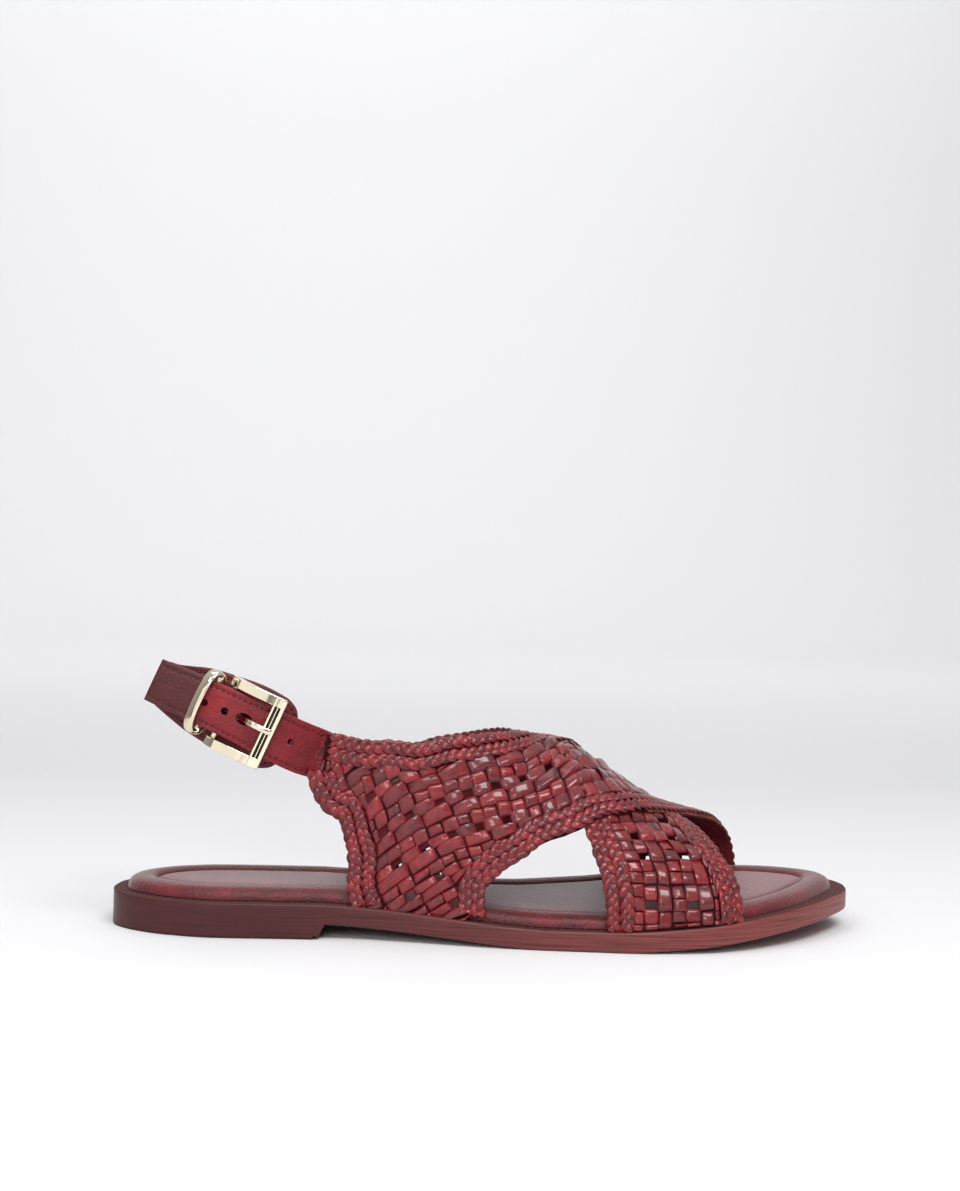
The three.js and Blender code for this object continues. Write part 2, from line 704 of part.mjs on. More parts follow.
// The sling: rounded guard behind the buckle, round the heel, into the inner wing
const REAR_STRAP = [
  { a: 11, b: -23, low: -4, high: 4, lean: 0 },
  { a: 11.8, b: -23, low: -8, high: 7.6, lean: 0 },
  { a: 14, b: -23, low: -10.8, high: 10.6, lean: 0 },
  { a: 18, b: -23, low: -12.3, high: 12.3, lean: 0 },
  { a: 26, b: -23, low: -12.6, high: 12.8, lean: 0 },
  { a: 35, b: -22.9, low: -12, high: 12, lean: 0 },
  { a: 43, b: -22.2, low: -10.9, high: 10.9, lean: 0 },
  { a: 49, b: -20, low: -9.6, high: 8.8, lean: 0 },
  { a: 53.5, b: -15.8, low: -8.8, high: 7, lean: 0 },
  { a: 56, b: -10, low: -8.6, high: 6, lean: 0 },
  { a: 57, b: -2, low: -8.8, high: 5.4, lean: 0 },
  { a: 55.6, b: 7, low: -9.4, high: 4.8, lean: 0 },
  { a: 51, b: 14.6, low: -10.2, high: 4.4, lean: 0 },
  { a: 44, b: 18.8, low: -10.8, high: 3.6, lean: 0 },
  { a: 34, b: 20.4, low: -11.2, high: 3.2, lean: -0.02 },
  { a: 20, b: 20.6, low: -11.4, high: 3.2, lean: -0.05 },
  { a: 6, b: 20.95, low: -11.2, high: 3.2, lean: -0.08 },
  { a: -3, b: 21, low: -10.8, high: 3, lean: -0.08 },
  { a: -9, b: 20.9, low: -10.6, high: 2.8, lean: -0.07 },
];

function rearStrap() {
  const fine = REAR_STRAP.slice(0, 4);
  const rest = refined(REAR_STRAP.slice(3), 4.5);
  return strap([...fine, ...rest.slice(1)], STRAP_THICK);
}

// Buckle: a frame whose pivot bar lies under the strap and whose front bar lies over it.
// Its profiles are drawn from the pivot's middle.
const FRAME_HALF = 11.9;
const fromPivot = ([a, b]) => [PIVOT.a + a, PIVOT.b + b];

function alongC(profile, from, to) {
  const rings = [from, to].map((c) => profile.map(([a, b]) => fromStrap(a, b, c)));
  return loft(rings, false, clipped);
}

function circle(a, b, radius, sides) {
  return Array.from({ length: sides }, (_, k) => {
    const angle = (2 * Math.PI * k) / sides;
    return [a + radius * Math.cos(angle), b + radius * Math.sin(angle)];
  });
}

const FRONT_BAR = [
  [-17, -4.9], [-17, -6.4], [-16.3, -7], [-15.5, -7], [-15.2, -6.5],
  [-14.8, -6.5], [-14.5, -7], [-13.4, -7], [-13, -6.5], [-13, -4.9],
].map(fromPivot);
const SIDE_BAR = [
  [-16.7, -4.7], [-16.7, -6.2], [-16.3, -6.7], [-13, -6.7], [-6, -6],
  [-0.5, -4.4], [2, -1.8], [2, 0.4], [1, 1.6], [-1, 1.6],
  [-2.5, -0.8], [-8, -3.5], [-12.8, -4.5],
].map(fromPivot);

function sideBar(sign) {
  const [edge, flat] = [0.5, 3.1];
  const centre = SIDE_BAR.reduce((sum, p) => [sum[0] + p[0], sum[1] + p[1]], [0, 0]);
  const middle = centre.map((v) => v / SIDE_BAR.length);
  const drawn = (share) => SIDE_BAR.map((p) => p.map((v, k) => v + (middle[k] - v) * share));
  const levels = [
    { c: FRAME_HALF - flat, share: 0 },
    { c: FRAME_HALF - edge, share: 0 },
    { c: FRAME_HALF, share: 0.06 },
  ];
  const ringAt = ({ c, share }) => drawn(share).map(([a, b]) => fromStrap(a, b, 0.3 + sign * c));
  return loft(levels.map(ringAt), false, clipped);
}

function buckleFrame() {
  const [reach, rod] = [FRAME_HALF - 0.35, FRAME_HALF - 1.5];
  return sideBar(-1)
    .add(alongC(circle(PIVOT.a, PIVOT.b, PIVOT.radius, 12), 0.3 - rod, 0.3 + rod))
    .add(alongC(FRONT_BAR, 0.3 - reach, 0.3 + reach))
    .add(sideBar(1));
}

// Prong: an eye round the pivot and a shank up through the strap onto the front bar
const SHANK = [
  { along: -0.4, up: -1.7, thick: 0.8 },
  { along: -3.6, up: -1.8, thick: 1 },
  { along: -5.1, up: -2.3, thick: 1.1 },
  { along: -6.6, up: -4, thick: 1.2 },
  { along: -8, up: -6, thick: 1.4 },
  { along: -10.4, up: -7.6, thick: 1.6 },
  { along: -13, up: -8.15, thick: 1.5 },
  { along: -15.4, up: -8.3, thick: 1.3 },
  { along: -16.2, up: -8.2, thick: 0.7 },
].map(({ along, up, thick }) => ({ a: PIVOT.a + along, b: PIVOT.b + up, thick }));

function prong() {
  const centre = 1;
  const eyeOuter = alongC(circle(PIVOT.a, PIVOT.b, 2.2, 16), centre - 1, centre + 1);
  const eyeInner = alongC(circle(PIVOT.a, PIVOT.b, PIVOT.radius + GAP, 16), centre - 3, centre + 3);
  const rings = SHANK.map((row, k) => {
    const [p, q] = [SHANK[Math.max(k - 1, 0)], SHANK[Math.min(k + 1, SHANK.length - 1)]];
    const length = Math.hypot(q.a - p.a, q.b - p.b);
    const [na, nb] = [-(q.b - p.b) / length, (q.a - p.a) / length];
    return Array.from({ length: 8 }, (_, m) => {
      const angle = (Math.PI * (2 * m + 1)) / 8;
      const up = (Math.sin(angle) * row.thick) / 1.85;
      return fromStrap(row.a + na * up, row.b + nb * up, centre + Math.cos(angle) * 1.05);
    });
  });
  return eyeOuter.add(loft(rings)).subtract(eyeInner);
}

// Chape: the leather fold that holds the pivot bar on the sling's guard
function chape() {
  const thick = 1.1;
  const bore = PIVOT.radius + GAP;
  const path = [];
  for (let k = 0; k <= 10; k += 1) {
    const angle = Math.PI * (-0.62 + (1.12 * k) / 10);
    path.push({
      a: PIVOT.a + (bore + thick / 2) * Math.cos(angle),
      b: PIVOT.b + (bore + thick / 2) * Math.sin(angle),
    });
  }
  for (const back of [-4, -11]) path.push({ a: PIVOT.a + back, b: PIVOT.b + bore + thick / 2 });
  const half = 6.8;
  const rows = path.map(({ a, b }) => ({ a, b, low: 0.3 - half, high: 0.3 + half }));
  const cut = [[-4.5, -4.2], [4, -4.2], [4, 2.6], [-2.8, 2.6], [-4.5, 0.8]].map(fromPivot);
  const slot = alongC(cut, -1.7, 2.4);
  return strap(rows, thick, 1).subtract(slot);
}

// Keeper: a wide oval metal loop round the strap, slanted so that its face is nearer the tip
const KEEPER = { back: 6.8, half: 10.2, reach: 4.2, slant: 53, width: 3.8, thick: 1.3, power: 2.6 };
const KEEPER_C = 0.9;

function keeper() {
  const slant = THREE.MathUtils.degToRad(KEEPER.slant);
  const dir = { a: Math.cos(slant), b: -Math.sin(slant) };
  const normal = { a: -dir.b, b: dir.a };
  const middle = { a: PIVOT.a + KEEPER.back, b: strapLine(PIVOT.a + KEEPER.back) + 0.1 };
  const power = KEEPER.power;
  const bent = (v, size) => Math.sign(v) * size * Math.abs(v) ** (2 / power);
  const rings = Array.from({ length: 28 }, (_, k) => {
    const turn = (2 * Math.PI * (k + 0.5)) / 28;
    const u = bent(Math.cos(turn), KEEPER.reach);
    const c = bent(Math.sin(turn), KEEPER.half);
    const out = [
      (Math.sign(u) * Math.abs(u / KEEPER.reach) ** (power - 1)) / KEEPER.reach,
      (Math.sign(c) * Math.abs(c / KEEPER.half) ** (power - 1)) / KEEPER.half,
    ];
    const length = Math.hypot(...out);
    return Array.from({ length: 8 }, (_, m) => {
      const phase = (Math.PI * (2 * m + 1)) / 8;
      const rise = (Math.sin(phase) * KEEPER.thick) / 1.85;
      const wide = (Math.cos(phase) * KEEPER.width) / 1.85;
      const along = u + (rise * out[0]) / length;
      return fromStrap(
        middle.a + dir.a * along + normal.a * wide,
        middle.b + dir.b * along + normal.b * wide,
        KEEPER_C + c + (rise * out[1]) / length,
      );
    });
  });
  return loft(rings, true);
}

// Materials
const leather = (colour, roughness) =>
  new THREE.MeshStandardMaterial({ color: colour, roughness, metalness: 0 });
const metal = (colour) =>
  new THREE.MeshStandardMaterial({ color: colour, roughness: 0.22, metalness: 1 });

const PIECES = [
  { name: "outsole", make: outsole, material: leather(0x6e3238, 0.6) },
  { name: "insole", make: insole, material: leather(0x7a2630, 0.45) },
  { name: "upper", make: upper, material: leather(0x7c1f2b, 0.35) },
  { name: "front_strap", make: frontStrap, material: leather(0x8c1a28, 0.5) },
  { name: "rear_strap", make: rearStrap, material: leather(0x6c1f29, 0.55) },
  { name: "chape", make: chape, material: leather(0x6a1c27, 0.6) },
  { name: "buckle_frame", make: buckleFrame, material: metal(0xe6dcc4) },
  { name: "buckle_prong", make: prong, material: metal(0xe2d6bc) },
  { name: "keeper", make: keeper, material: metal(0xe8dec8) },
];

const sandal = new THREE.Group();
for (const { name, make, material } of PIECES) {
  const mesh = new THREE.Mesh(geometryOf(make()), material);
  mesh.name = name;
  sandal.add(mesh);
}

export default sandal;
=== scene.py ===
"""Huarache sandal, right shoe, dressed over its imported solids.

Tables and sizes are millimetres in the part's own frame (+X toe, +Y inner side, +Z up);
one scale turns them into metres where a mesh is written.
"""

import logging
from dataclasses import dataclass, field
from enum import Enum

import bmesh
import bpy
import numpy as np
from mathutils import Matrix, Vector


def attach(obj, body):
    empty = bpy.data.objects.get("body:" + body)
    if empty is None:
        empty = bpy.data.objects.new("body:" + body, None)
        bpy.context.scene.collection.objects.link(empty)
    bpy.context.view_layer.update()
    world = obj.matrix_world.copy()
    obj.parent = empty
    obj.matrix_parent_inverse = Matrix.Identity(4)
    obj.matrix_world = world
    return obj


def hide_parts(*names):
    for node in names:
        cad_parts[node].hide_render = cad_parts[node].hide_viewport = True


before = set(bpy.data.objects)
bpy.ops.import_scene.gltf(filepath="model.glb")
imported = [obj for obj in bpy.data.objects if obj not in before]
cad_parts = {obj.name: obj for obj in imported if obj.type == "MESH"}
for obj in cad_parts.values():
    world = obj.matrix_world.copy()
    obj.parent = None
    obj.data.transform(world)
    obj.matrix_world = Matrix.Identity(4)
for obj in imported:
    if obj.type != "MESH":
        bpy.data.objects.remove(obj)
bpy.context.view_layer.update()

logging.basicConfig(level=logging.INFO, format="%(message)s")
log = logging.getLogger("sandal")

METRES = 0.001
SOLE_LENGTH = 250.0
HEEL_REST = 34.5
SOLE_THICK = 6.5
GAP = 0.3
FOOT_INSET = 3.0
WALL = 1.8
RIDGE_SHIFT = 4.0
SECTION_POWER = 2.25
BRAID = 7.5
STRAP_THICK = 2.2
STRAP_TILT = np.radians(23.5)
STRAP_ROOT = (67.8, 58.4)

Solid = tuple[np.ndarray, list[np.ndarray]]  # points, and arrays of corner numbers


# ---------------------------------------------------------------- tables and curves
def named(columns: str, *rows: tuple[float, ...]) -> np.ndarray:
    """A short table whose columns are read by name."""
    return np.array([tuple(map(float, row)) for row in rows], dtype=[(c, float) for c in columns.split()])


def through(table: np.ndarray, x: np.ndarray | float, column: str) -> np.ndarray:
    """A smooth curve through a table, held flat beyond its ends.

    Each piece is a cubic Hermite whose end slopes are the harmonic mean of the two neighbouring
    secants, or nothing where they turn, so the curve never overshoots its rows.

    Args:
        table: rows whose first column is the key, rising.
        x: keys to read at.
        column: name of the column to read.

    Returns:
        The column's value at each x.
    """
    keys, values = table[table.dtype.names[0]], table[column]
    step = np.diff(keys)
    secant = np.diff(values) / step
    product, total = secant[:-1] * secant[1:], secant[:-1] + secant[1:]
    inner = np.where(product > 0, 2 * product / np.where(total == 0, 1, total), 0)
    slope = np.concatenate([secant[:1], inner, secant[-1:]])
    x = np.clip(np.asarray(x, float), keys[0], keys[-1])
    k = np.clip(np.searchsorted(keys, x, side="right") - 1, 0, len(keys) - 2)
    t = (x - keys[k]) / step[k]
    t2, t3 = t * t, t * t * t
    return (values[k] * (2 * t3 - 3 * t2 + 1) + values[k + 1] * (3 * t2 - 2 * t3)
            + step[k] * (slope[k] * (t3 - 2 * t2 + t) + slope[k + 1] * (t3 - t2)))


def eased(low: float, high: float, x: np.ndarray) -> np.ndarray:
    """0 below low, 1 above high, and three t squared less two t cubed between them."""
    t = np.clip((x - low) / (high - low), 0, 1)
    return t * t * (3 - 2 * t)


def run_along(path: np.ndarray) -> np.ndarray:
    """Distance along a path at each of its points."""
    return np.concatenate([[0], np.cumsum(np.linalg.norm(np.diff(path, axis=0), axis=1))])


def read_at(at: np.ndarray, along: np.ndarray, values: np.ndarray) -> np.ndarray:
    """Each column of values, read at distances between its rows."""
    return np.stack([np.interp(at, along, column) for column in values.T], -1)


def full_turn(count: int) -> np.ndarray:
    """Even angles round a circle from nothing."""
    return np.linspace(0, 2 * np.pi, count, endpoint=False)


def off_axis_turn(count: int) -> np.ndarray:
    """Even angles round a circle that start half a step on, so that none lies on an axis."""
    return 2 * np.pi * (np.arange(count) + 0.5) / count


def boxed(wave: np.ndarray, power: float) -> np.ndarray:
    """A wave's size to a power, its sign kept: powers under one square a round section up."""
    return np.sign(wave) * np.abs(wave) ** power


PLAN = named(
    "s outer inner", (0, 0, 0), (1.2, 7.5, 7.5), (4, 12.6, 12.8), (9, 17.6, 18.2), (18, 23.2, 23.4),
    (35, 28.1, 27), (55, 28.9, 26.6), (75, 29.9, 25.4), (95, 33.4, 25), (115, 38.2, 26.8),
    (135, 42, 32), (155, 44.6, 38.8), (175, 46.6, 44.6), (190, 46, 46.2), (205, 41.6, 44.9),
    (220, 33, 40.2), (233, 21.8, 33.4), (242, 11.2, 26), (247, 4, 19.6), (249.2, -1.6, 14.2),
    (250, -8, 8))
UNDERSIDE = named(
    "s z", (70, 4.8), (90, 3.7), (110, 2.1), (128, 0.6), (140, 0), (160, 0), (185, 1.4),
    (215, 4.3), (235, 5.9), (250, 6.7))
CREST = named(
    "s h", (60, 112), (75, 102), (90, 92), (105, 80), (120, 66), (130, 58), (139, 54), (150, 52),
    (159, 47.3), (169, 40.3), (176, 35.2), (186, 29.4), (200, 24), (215, 19.4))


def sole_top(s: np.ndarray) -> np.ndarray:
    """Height of the sole's upper face at s: the underside's curve and the sole's thickness."""
    return through(UNDERSIDE, s, "z") + SOLE_THICK


def place(s: np.ndarray, y: np.ndarray, z: np.ndarray) -> np.ndarray:
    """Points of the part's frame from the distance along the sole, across it and up."""
    return np.stack(np.broadcast_arrays(np.asarray(s, float) - HEEL_REST, y, z), -1)


# ---------------------------------------------------------------- meshes
def quads(rows: int, columns: int, around: bool = False) -> np.ndarray:
    """Corner numbers of the cells of a grid of points.

    Args:
        rows: rows of points.
        columns: points in a row.
        around: the last column is joined to the first.

    Returns:
        N by 4 corner numbers.
    """
    r = np.arange(rows - 1)[:, None] * columns
    c = np.arange(columns if around else columns - 1)[None, :]
    n = (c + 1) % columns
    return np.stack(np.broadcast_arrays(r + c, r + n, r + columns + n, r + columns + c), -1).reshape(-1, 4)


def solid(name: str, points: np.ndarray, faces: list[np.ndarray], sharp: float = 50.0) -> bpy.types.Object:
    """A closed mesh from points and faces, turned outwards and shaded smooth.

    Args:
        name: the piece's name.
        points: N by 3, millimetres.
        faces: arrays of corner numbers, one row for each face.
        sharp: edges that turn more than this many degrees stay crisp.

    Returns:
        The new object, at the origin.
    """
    mesh = bpy.data.meshes.new(name)
    corners = np.concatenate([f.ravel() for f in faces]).astype(np.int32)
    sizes = np.concatenate([np.full(len(f), f.shape[1]) for f in faces])
    mesh.vertices.add(len(points))
    mesh.vertices.foreach_set("co", (points * METRES).astype(np.float32).ravel())
    mesh.loops.add(len(corners))
    mesh.loops.foreach_set("vertex_index", corners)
    mesh.polygons.add(len(sizes))
    mesh.polygons.foreach_set("loop_start", np.concatenate([[0], np.cumsum(sizes)[:-1]]).astype(np.int32))
    mesh.update(calc_edges=True)
    mesh.validate()
    made = bmesh.new()
    made.from_mesh(mesh)
    bmesh.ops.recalc_face_normals(made, faces=made.faces)
    made.to_mesh(mesh)
    made.free()
    mesh.polygons.foreach_set("use_smooth", np.ones(len(mesh.polygons), bool))
    mesh.set_sharp_from_angle(angle=np.radians(sharp))
    made_object = bpy.data.objects.new(name, mesh)
    bpy.context.scene.collection.objects.link(made_object)
    return made_object


def mark(piece: bpy.types.Object, name: str, values: np.ndarray) -> None:
    """Writes one value or one vector for each point of a piece, for its material to read."""
    kind, key = ("FLOAT", "value") if values.ndim == 1 else ("FLOAT_VECTOR", "vector")
    piece.data.attributes.new(name, kind, "POINT").data.foreach_set(key, values.astype(np.float32).ravel())


def lofted(rings: np.ndarray, closed: bool = False) -> Solid:
    """Points and faces of rings joined in order, capped at both ends or joined end to end.

    Args:
        rings: R by K by 3.
        closed: the last ring is joined to the first.

    Returns:
        The solid.
    """
    r, k = rings.shape[:2]
    if closed:
        cells = quads(r + 1, k, True) % (r * k)
        return rings.reshape(-1, 3), [cells]
    ends = [np.arange(k)[None, ::-1], (r - 1) * k + np.arange(k)[None, :]]
    return rings.reshape(-1, 3), [quads(r, k, True), *ends]


def spanned(rings: int, count: int) -> list[np.ndarray]:
    """Faces of long rings joined in order, both ends spanned by cells from side to side.

    Args:
        rings: how many rings.
        count: points in a ring, even, the two sides matching from both ends.

    Returns:
        Arrays of corner numbers.
    """
    half = np.arange(count // 2 - 1)
    span = np.stack([half, half + 1, count - 2 - half, count - 1 - half], -1)
    return [quads(rings, count, True), span, span[:, ::-1] + (rings - 1) * count]


def joined(parts: list[Solid]) -> Solid:
    """Several solids as one.

    Args:
        parts: the solids.

    Returns:
        One solid, each part's corner numbers moved past the last's.
    """
    shift = np.cumsum([0] + [len(points) for points, _ in parts])
    faces = [f + shift[k] for k, (_, group) in enumerate(parts) for f in group]
    return np.concatenate([points for points, _ in parts]), faces


def unit(v: np.ndarray) -> np.ndarray:
    """Vectors along the last axis, each divided by its length."""
    return v / np.maximum(np.linalg.norm(v, axis=-1, keepdims=True), 1e-9)


def finished(piece: bpy.types.Object, finish: "Finish", slot: str, *nodes: str) -> bpy.types.Object:
    """Gives a piece its material, sets it on the root body and stands it for CAD nodes.

    Args:
        piece: the new piece.
        finish: what it is made of.
        slot: its colour slot; not used.
        nodes: the CAD nodes that it stands for.

    Returns:
        The same piece.
    """
    piece.data.materials.append(finish.material())
    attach(piece, "root")
    if nodes:
        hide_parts(*nodes)
    log.info("%s: %d faces", piece.name, len(piece.data.polygons))
    return piece


# ---------------------------------------------------------------- materials
Colour = tuple[float, float, float, float]
SHARE, FIRST, SECOND, MIXED = 0, 6, 7, 2  # a colour Mix node's inputs by place, and its result


def linear(code: str) -> Colour:
    """An sRGB hex colour as linear red, green, blue and alpha."""
    srgb = np.array([int(code[k:k + 2], 16) / 255 for k in (1, 3, 5)])
    return (*np.where(srgb <= 0.04045, srgb / 12.92, ((srgb + 0.055) / 1.055) ** 2.4), 1.0)


def add(tree: bpy.types.NodeTree, kind: str, inputs: dict[str | int, object] | None = None,
        out: str | int = 0, **settings: str) -> bpy.types.NodeSocket | None:
    """Adds a shader node with its settings, values and links.

    Args:
        tree: the nodes that it joins.
        kind: the node's type, without the ShaderNode that all have in front.
        inputs: values to set or sockets to link, by name or place.
        out: the output that is wanted, by name or place.
        settings: the node's own properties.

    Returns:
        That output, or nothing from a node without outputs.
    """
    node = tree.nodes.new("ShaderNode" + kind)
    for name, value in settings.items():
        setattr(node, name, value)
    for name, value in (inputs or {}).items():
        if isinstance(value, bpy.types.NodeSocket):
            tree.links.new(value, node.inputs[name])
        else:
            node.inputs[name].default_value = value
    return node.outputs[out] if node.outputs else None


def per_metre(millimetres: float) -> float:
    """A noise scale whose features are about this wide."""
    return 1.0 / (millimetres * METRES)


@dataclass(frozen=True)
class Finish:
    """What every finish has: a name for the real material and its process."""

    name: str

    def material(self) -> bpy.types.Material:
        """The finish's material, one surface shader, made once and shared.

        Returns:
            The material.
        """
        found = bpy.data.materials.get(self.name)
        if found:
            return found
        made = bpy.data.materials.new(self.name)
        made.use_nodes = True
        tree = made.node_tree
        tree.nodes.clear()
        surface = add(tree, "BsdfPrincipled", self.sockets(tree))
        add(tree, "OutputMaterial", {"Surface": surface})
        return made

    def sockets(self, tree: bpy.types.NodeTree) -> dict[str, object]:
        """The surface's values, and what is linked to it, by socket."""
        raise NotImplementedError


@dataclass(frozen=True)
class StripLeather(Finish):
    """Glazed calf cut into strips: a hard wax shine over a fine creased grain, with painted shade darkening
    each strip towards its cut edges.

    Reads the piece's "strip" (mm along, mm across, tone) and "edge" (0 middle, 1 cut edge).
    """

    deep: str = "#240408"
    body: str = "#620811"
    bright: str = "#8e131d"
    roughness: float = 0.34
    crease_mm: float = 0.34
    grain_mm: float = 0.55
    mottle_mm: float = 2.4
    relief_mm: float = 0.32
    coat: float = 0.75

    def sockets(self, tree: bpy.types.NodeTree) -> dict[str, object]:
        """Colour from tone, mottle and a painted shade at the edge; bump from creases across the strip and
        grain.

        Args:
            tree: the material's nodes.

        Returns:
            Values and links by socket.
        """
        where = add(tree, "TexCoord", out="Object")
        strip = add(tree, "Attribute", out="Vector", attribute_name="strip")
        tone = add(tree, "SeparateXYZ", {"Vector": strip}, "Z")
        edge = add(tree, "Attribute", out="Fac", attribute_name="edge")
        stretched = add(tree, "VectorMath", {0: strip, 1: (1 / self.crease_mm, 0.38, 3.0)},
                        operation="MULTIPLY")
        crease = add(tree, "TexNoise", {"Vector": stretched, "Scale": 1.0, "Detail": 3.0})
        grain = add(tree, "TexNoise", {"Vector": where, "Scale": per_metre(self.grain_mm), "Detail": 4.0,
                                       "Roughness": 0.65})
        mottle = add(tree, "TexNoise", {"Vector": where, "Scale": per_metre(self.mottle_mm), "Detail": 3.0})
        deep = linear(self.deep)
        bright = add(tree, "MapRange", {"Value": tone})
        toned = add(tree, "Mix", {SHARE: bright, FIRST: linear(self.body), SECOND: linear(self.bright)},
                    MIXED, data_type="RGBA")
        patch = add(tree, "MapRange", {"Value": mottle, "From Min": 0.42, "From Max": 0.7, "To Max": 0.55})
        patchy = add(tree, "Mix", {SHARE: patch, FIRST: toned, SECOND: deep}, MIXED, data_type="RGBA")
        # Painted shade: the colour goes towards deep at a strip's edges, where it dips into the grooves
        # between pads.
        dark = add(tree, "MapRange", {"Value": edge, "From Min": 0.45, "To Max": 0.85})
        cut = add(tree, "Mix", {SHARE: dark, FIRST: patchy, SECOND: deep}, MIXED, data_type="RGBA")
        height = add(tree, "Math", {0: crease, 1: 0.7, 2: grain}, operation="MULTIPLY_ADD")
        bump = add(tree, "Bump", {"Height": height, "Strength": 0.9, "Distance": self.relief_mm * METRES})
        rough = add(tree, "MapRange", {"Value": grain, "From Min": 0.3, "From Max": 0.75,
                                       "To Min": self.roughness - 0.08, "To Max": self.roughness + 0.12})
        return {"Base Color": cut, "Roughness": rough, "Normal": bump, "Specular IOR Level": 0.3,
                "Coat Weight": self.coat, "Coat Roughness": 0.16}


@dataclass(frozen=True)
class SmoothLeather(Finish):
    """Drum-dyed calf: even colour with soft clouds, a fine pebble, and a satin shine.

    Reads "other" (0 to 1), the share of the second colour, where a piece has one: painted shade on the buckle
    strap's tip, painted sheen on the footbed's middle panel.
    """

    deep: str = "#5e1420"
    body: str = "#8a1c2a"
    roughness: float = 0.45
    grain_mm: float = 0.5
    cloud_mm: float = 9.0
    bump: float = 0.6
    relief_mm: float = 0.12
    coat: float = 0.08
    sheen: float = 0.0
    shine: float = 0.35
    other: str = "#4a1a1e"

    def sockets(self, tree: bpy.types.NodeTree) -> dict[str, object]:
        """Colour from clouds and pores; bump from pebble cells and a finer noise.

        Args:
            tree: the material's nodes.

        Returns:
            Values and links by socket.
        """
        where = add(tree, "TexCoord", out="Object")
        cloud = add(tree, "TexNoise", {"Vector": where, "Scale": per_metre(self.cloud_mm), "Detail": 4.0,
                                       "Roughness": 0.6})
        pebble = add(tree, "TexVoronoi", {"Vector": where, "Scale": per_metre(self.grain_mm)},
                     feature="SMOOTH_F1")
        fine = add(tree, "TexNoise", {"Vector": where, "Scale": per_metre(self.grain_mm * 0.5),
                                      "Detail": 3.0})
        deep = linear(self.deep)
        cloudy = add(tree, "MapRange", {"Value": cloud, "From Min": 0.35, "From Max": 0.68})
        colour = add(tree, "Mix", {SHARE: cloudy, FIRST: deep, SECOND: linear(self.body)}, MIXED,
                     data_type="RGBA")
        pores = add(tree, "MapRange", {"Value": pebble, "From Min": 0.45, "From Max": 0.9, "To Max": 0.3})
        pored = add(tree, "Mix", {SHARE: pores, FIRST: colour, SECOND: deep}, MIXED, data_type="RGBA")
        # The second colour is painted light: shade on the strap's tip, sheen on the footbed's panel.
        second = add(tree, "Attribute", out="Fac", attribute_name="other")
        dust = add(tree, "MapRange", {"Value": fine, "From Min": 0.3, "From Max": 0.7, "To Max": 0.25})
        painted_light_second = add(tree, "Mix", {SHARE: dust, FIRST: linear(self.other), SECOND: deep}, MIXED,
                     data_type="RGBA")
        both = add(tree, "Mix", {SHARE: second, FIRST: pored, SECOND: painted_light_second}, MIXED, data_type="RGBA")
        height = add(tree, "Math", {0: pebble, 1: -0.8, 2: fine}, operation="MULTIPLY_ADD")
        bump = add(tree, "Bump", {"Height": height, "Strength": self.bump,
                                  "Distance": self.relief_mm * METRES})
        rough = add(tree, "MapRange", {"Value": fine, "From Min": 0.3, "From Max": 0.7,
                                       "To Min": self.roughness - 0.06, "To Max": self.roughness + 0.08})
        return {"Base Color": both, "Roughness": rough, "Normal": bump, "Specular IOR Level": self.shine,
                "Coat Weight": self.coat, "Coat Roughness": 0.3,
                "Sheen Weight": self.sheen, "Sheen Roughness": 0.45}


@dataclass(frozen=True)
class SplitLining(Finish):
    """Split leather lining, matt burgundy inside; outside, painted near-black shade under the strips.

    Reads "outside" (0 the foot's side, 1 under the strips).
    """

    shade: str = "#52161c"
    inner: str = "#7c2a2e"
    # painted shade: near black on the lining's outside, under the strips
    core: str = "#22080e"
    nap_mm: float = 0.5
    relief_mm: float = 0.1

    def sockets(self, tree: bpy.types.NodeTree) -> dict[str, object]:
        """A short nap as noise; the outside is painted almost black, as shade, and fully matt.

        Args:
            tree: the material's nodes.

        Returns:
            Values and links by socket.
        """
        where = add(tree, "TexCoord", out="Object")
        outside = add(tree, "Attribute", out="Fac", attribute_name="outside")
        nap = add(tree, "TexNoise", {"Vector": where, "Scale": per_metre(self.nap_mm), "Detail": 4.0})
        lit = add(tree, "MapRange", {"Value": nap, "From Min": 0.3, "From Max": 0.7})
        napped = add(tree, "Mix", {SHARE: lit, FIRST: linear(self.shade), SECOND: linear(self.inner)},
                     MIXED, data_type="RGBA")
        # Painted shade under the strips: the outside goes to the near-black core colour.
        outside_shade = add(tree, "MapRange", {"Value": outside, "From Min": 0.05, "From Max": 0.5})
        colour = add(tree, "Mix", {SHARE: outside_shade, FIRST: napped, SECOND: linear(self.core)}, MIXED,
                     data_type="RGBA")
        bump = add(tree, "Bump", {"Height": nap, "Strength": 0.3, "Distance": self.relief_mm * METRES})
        rough = add(tree, "MapRange", {"Value": outside, "From Max": 0.5, "To Min": 0.6, "To Max": 0.95})
        return {"Base Color": colour, "Roughness": rough, "Normal": bump, "Specular IOR Level": 0.25}


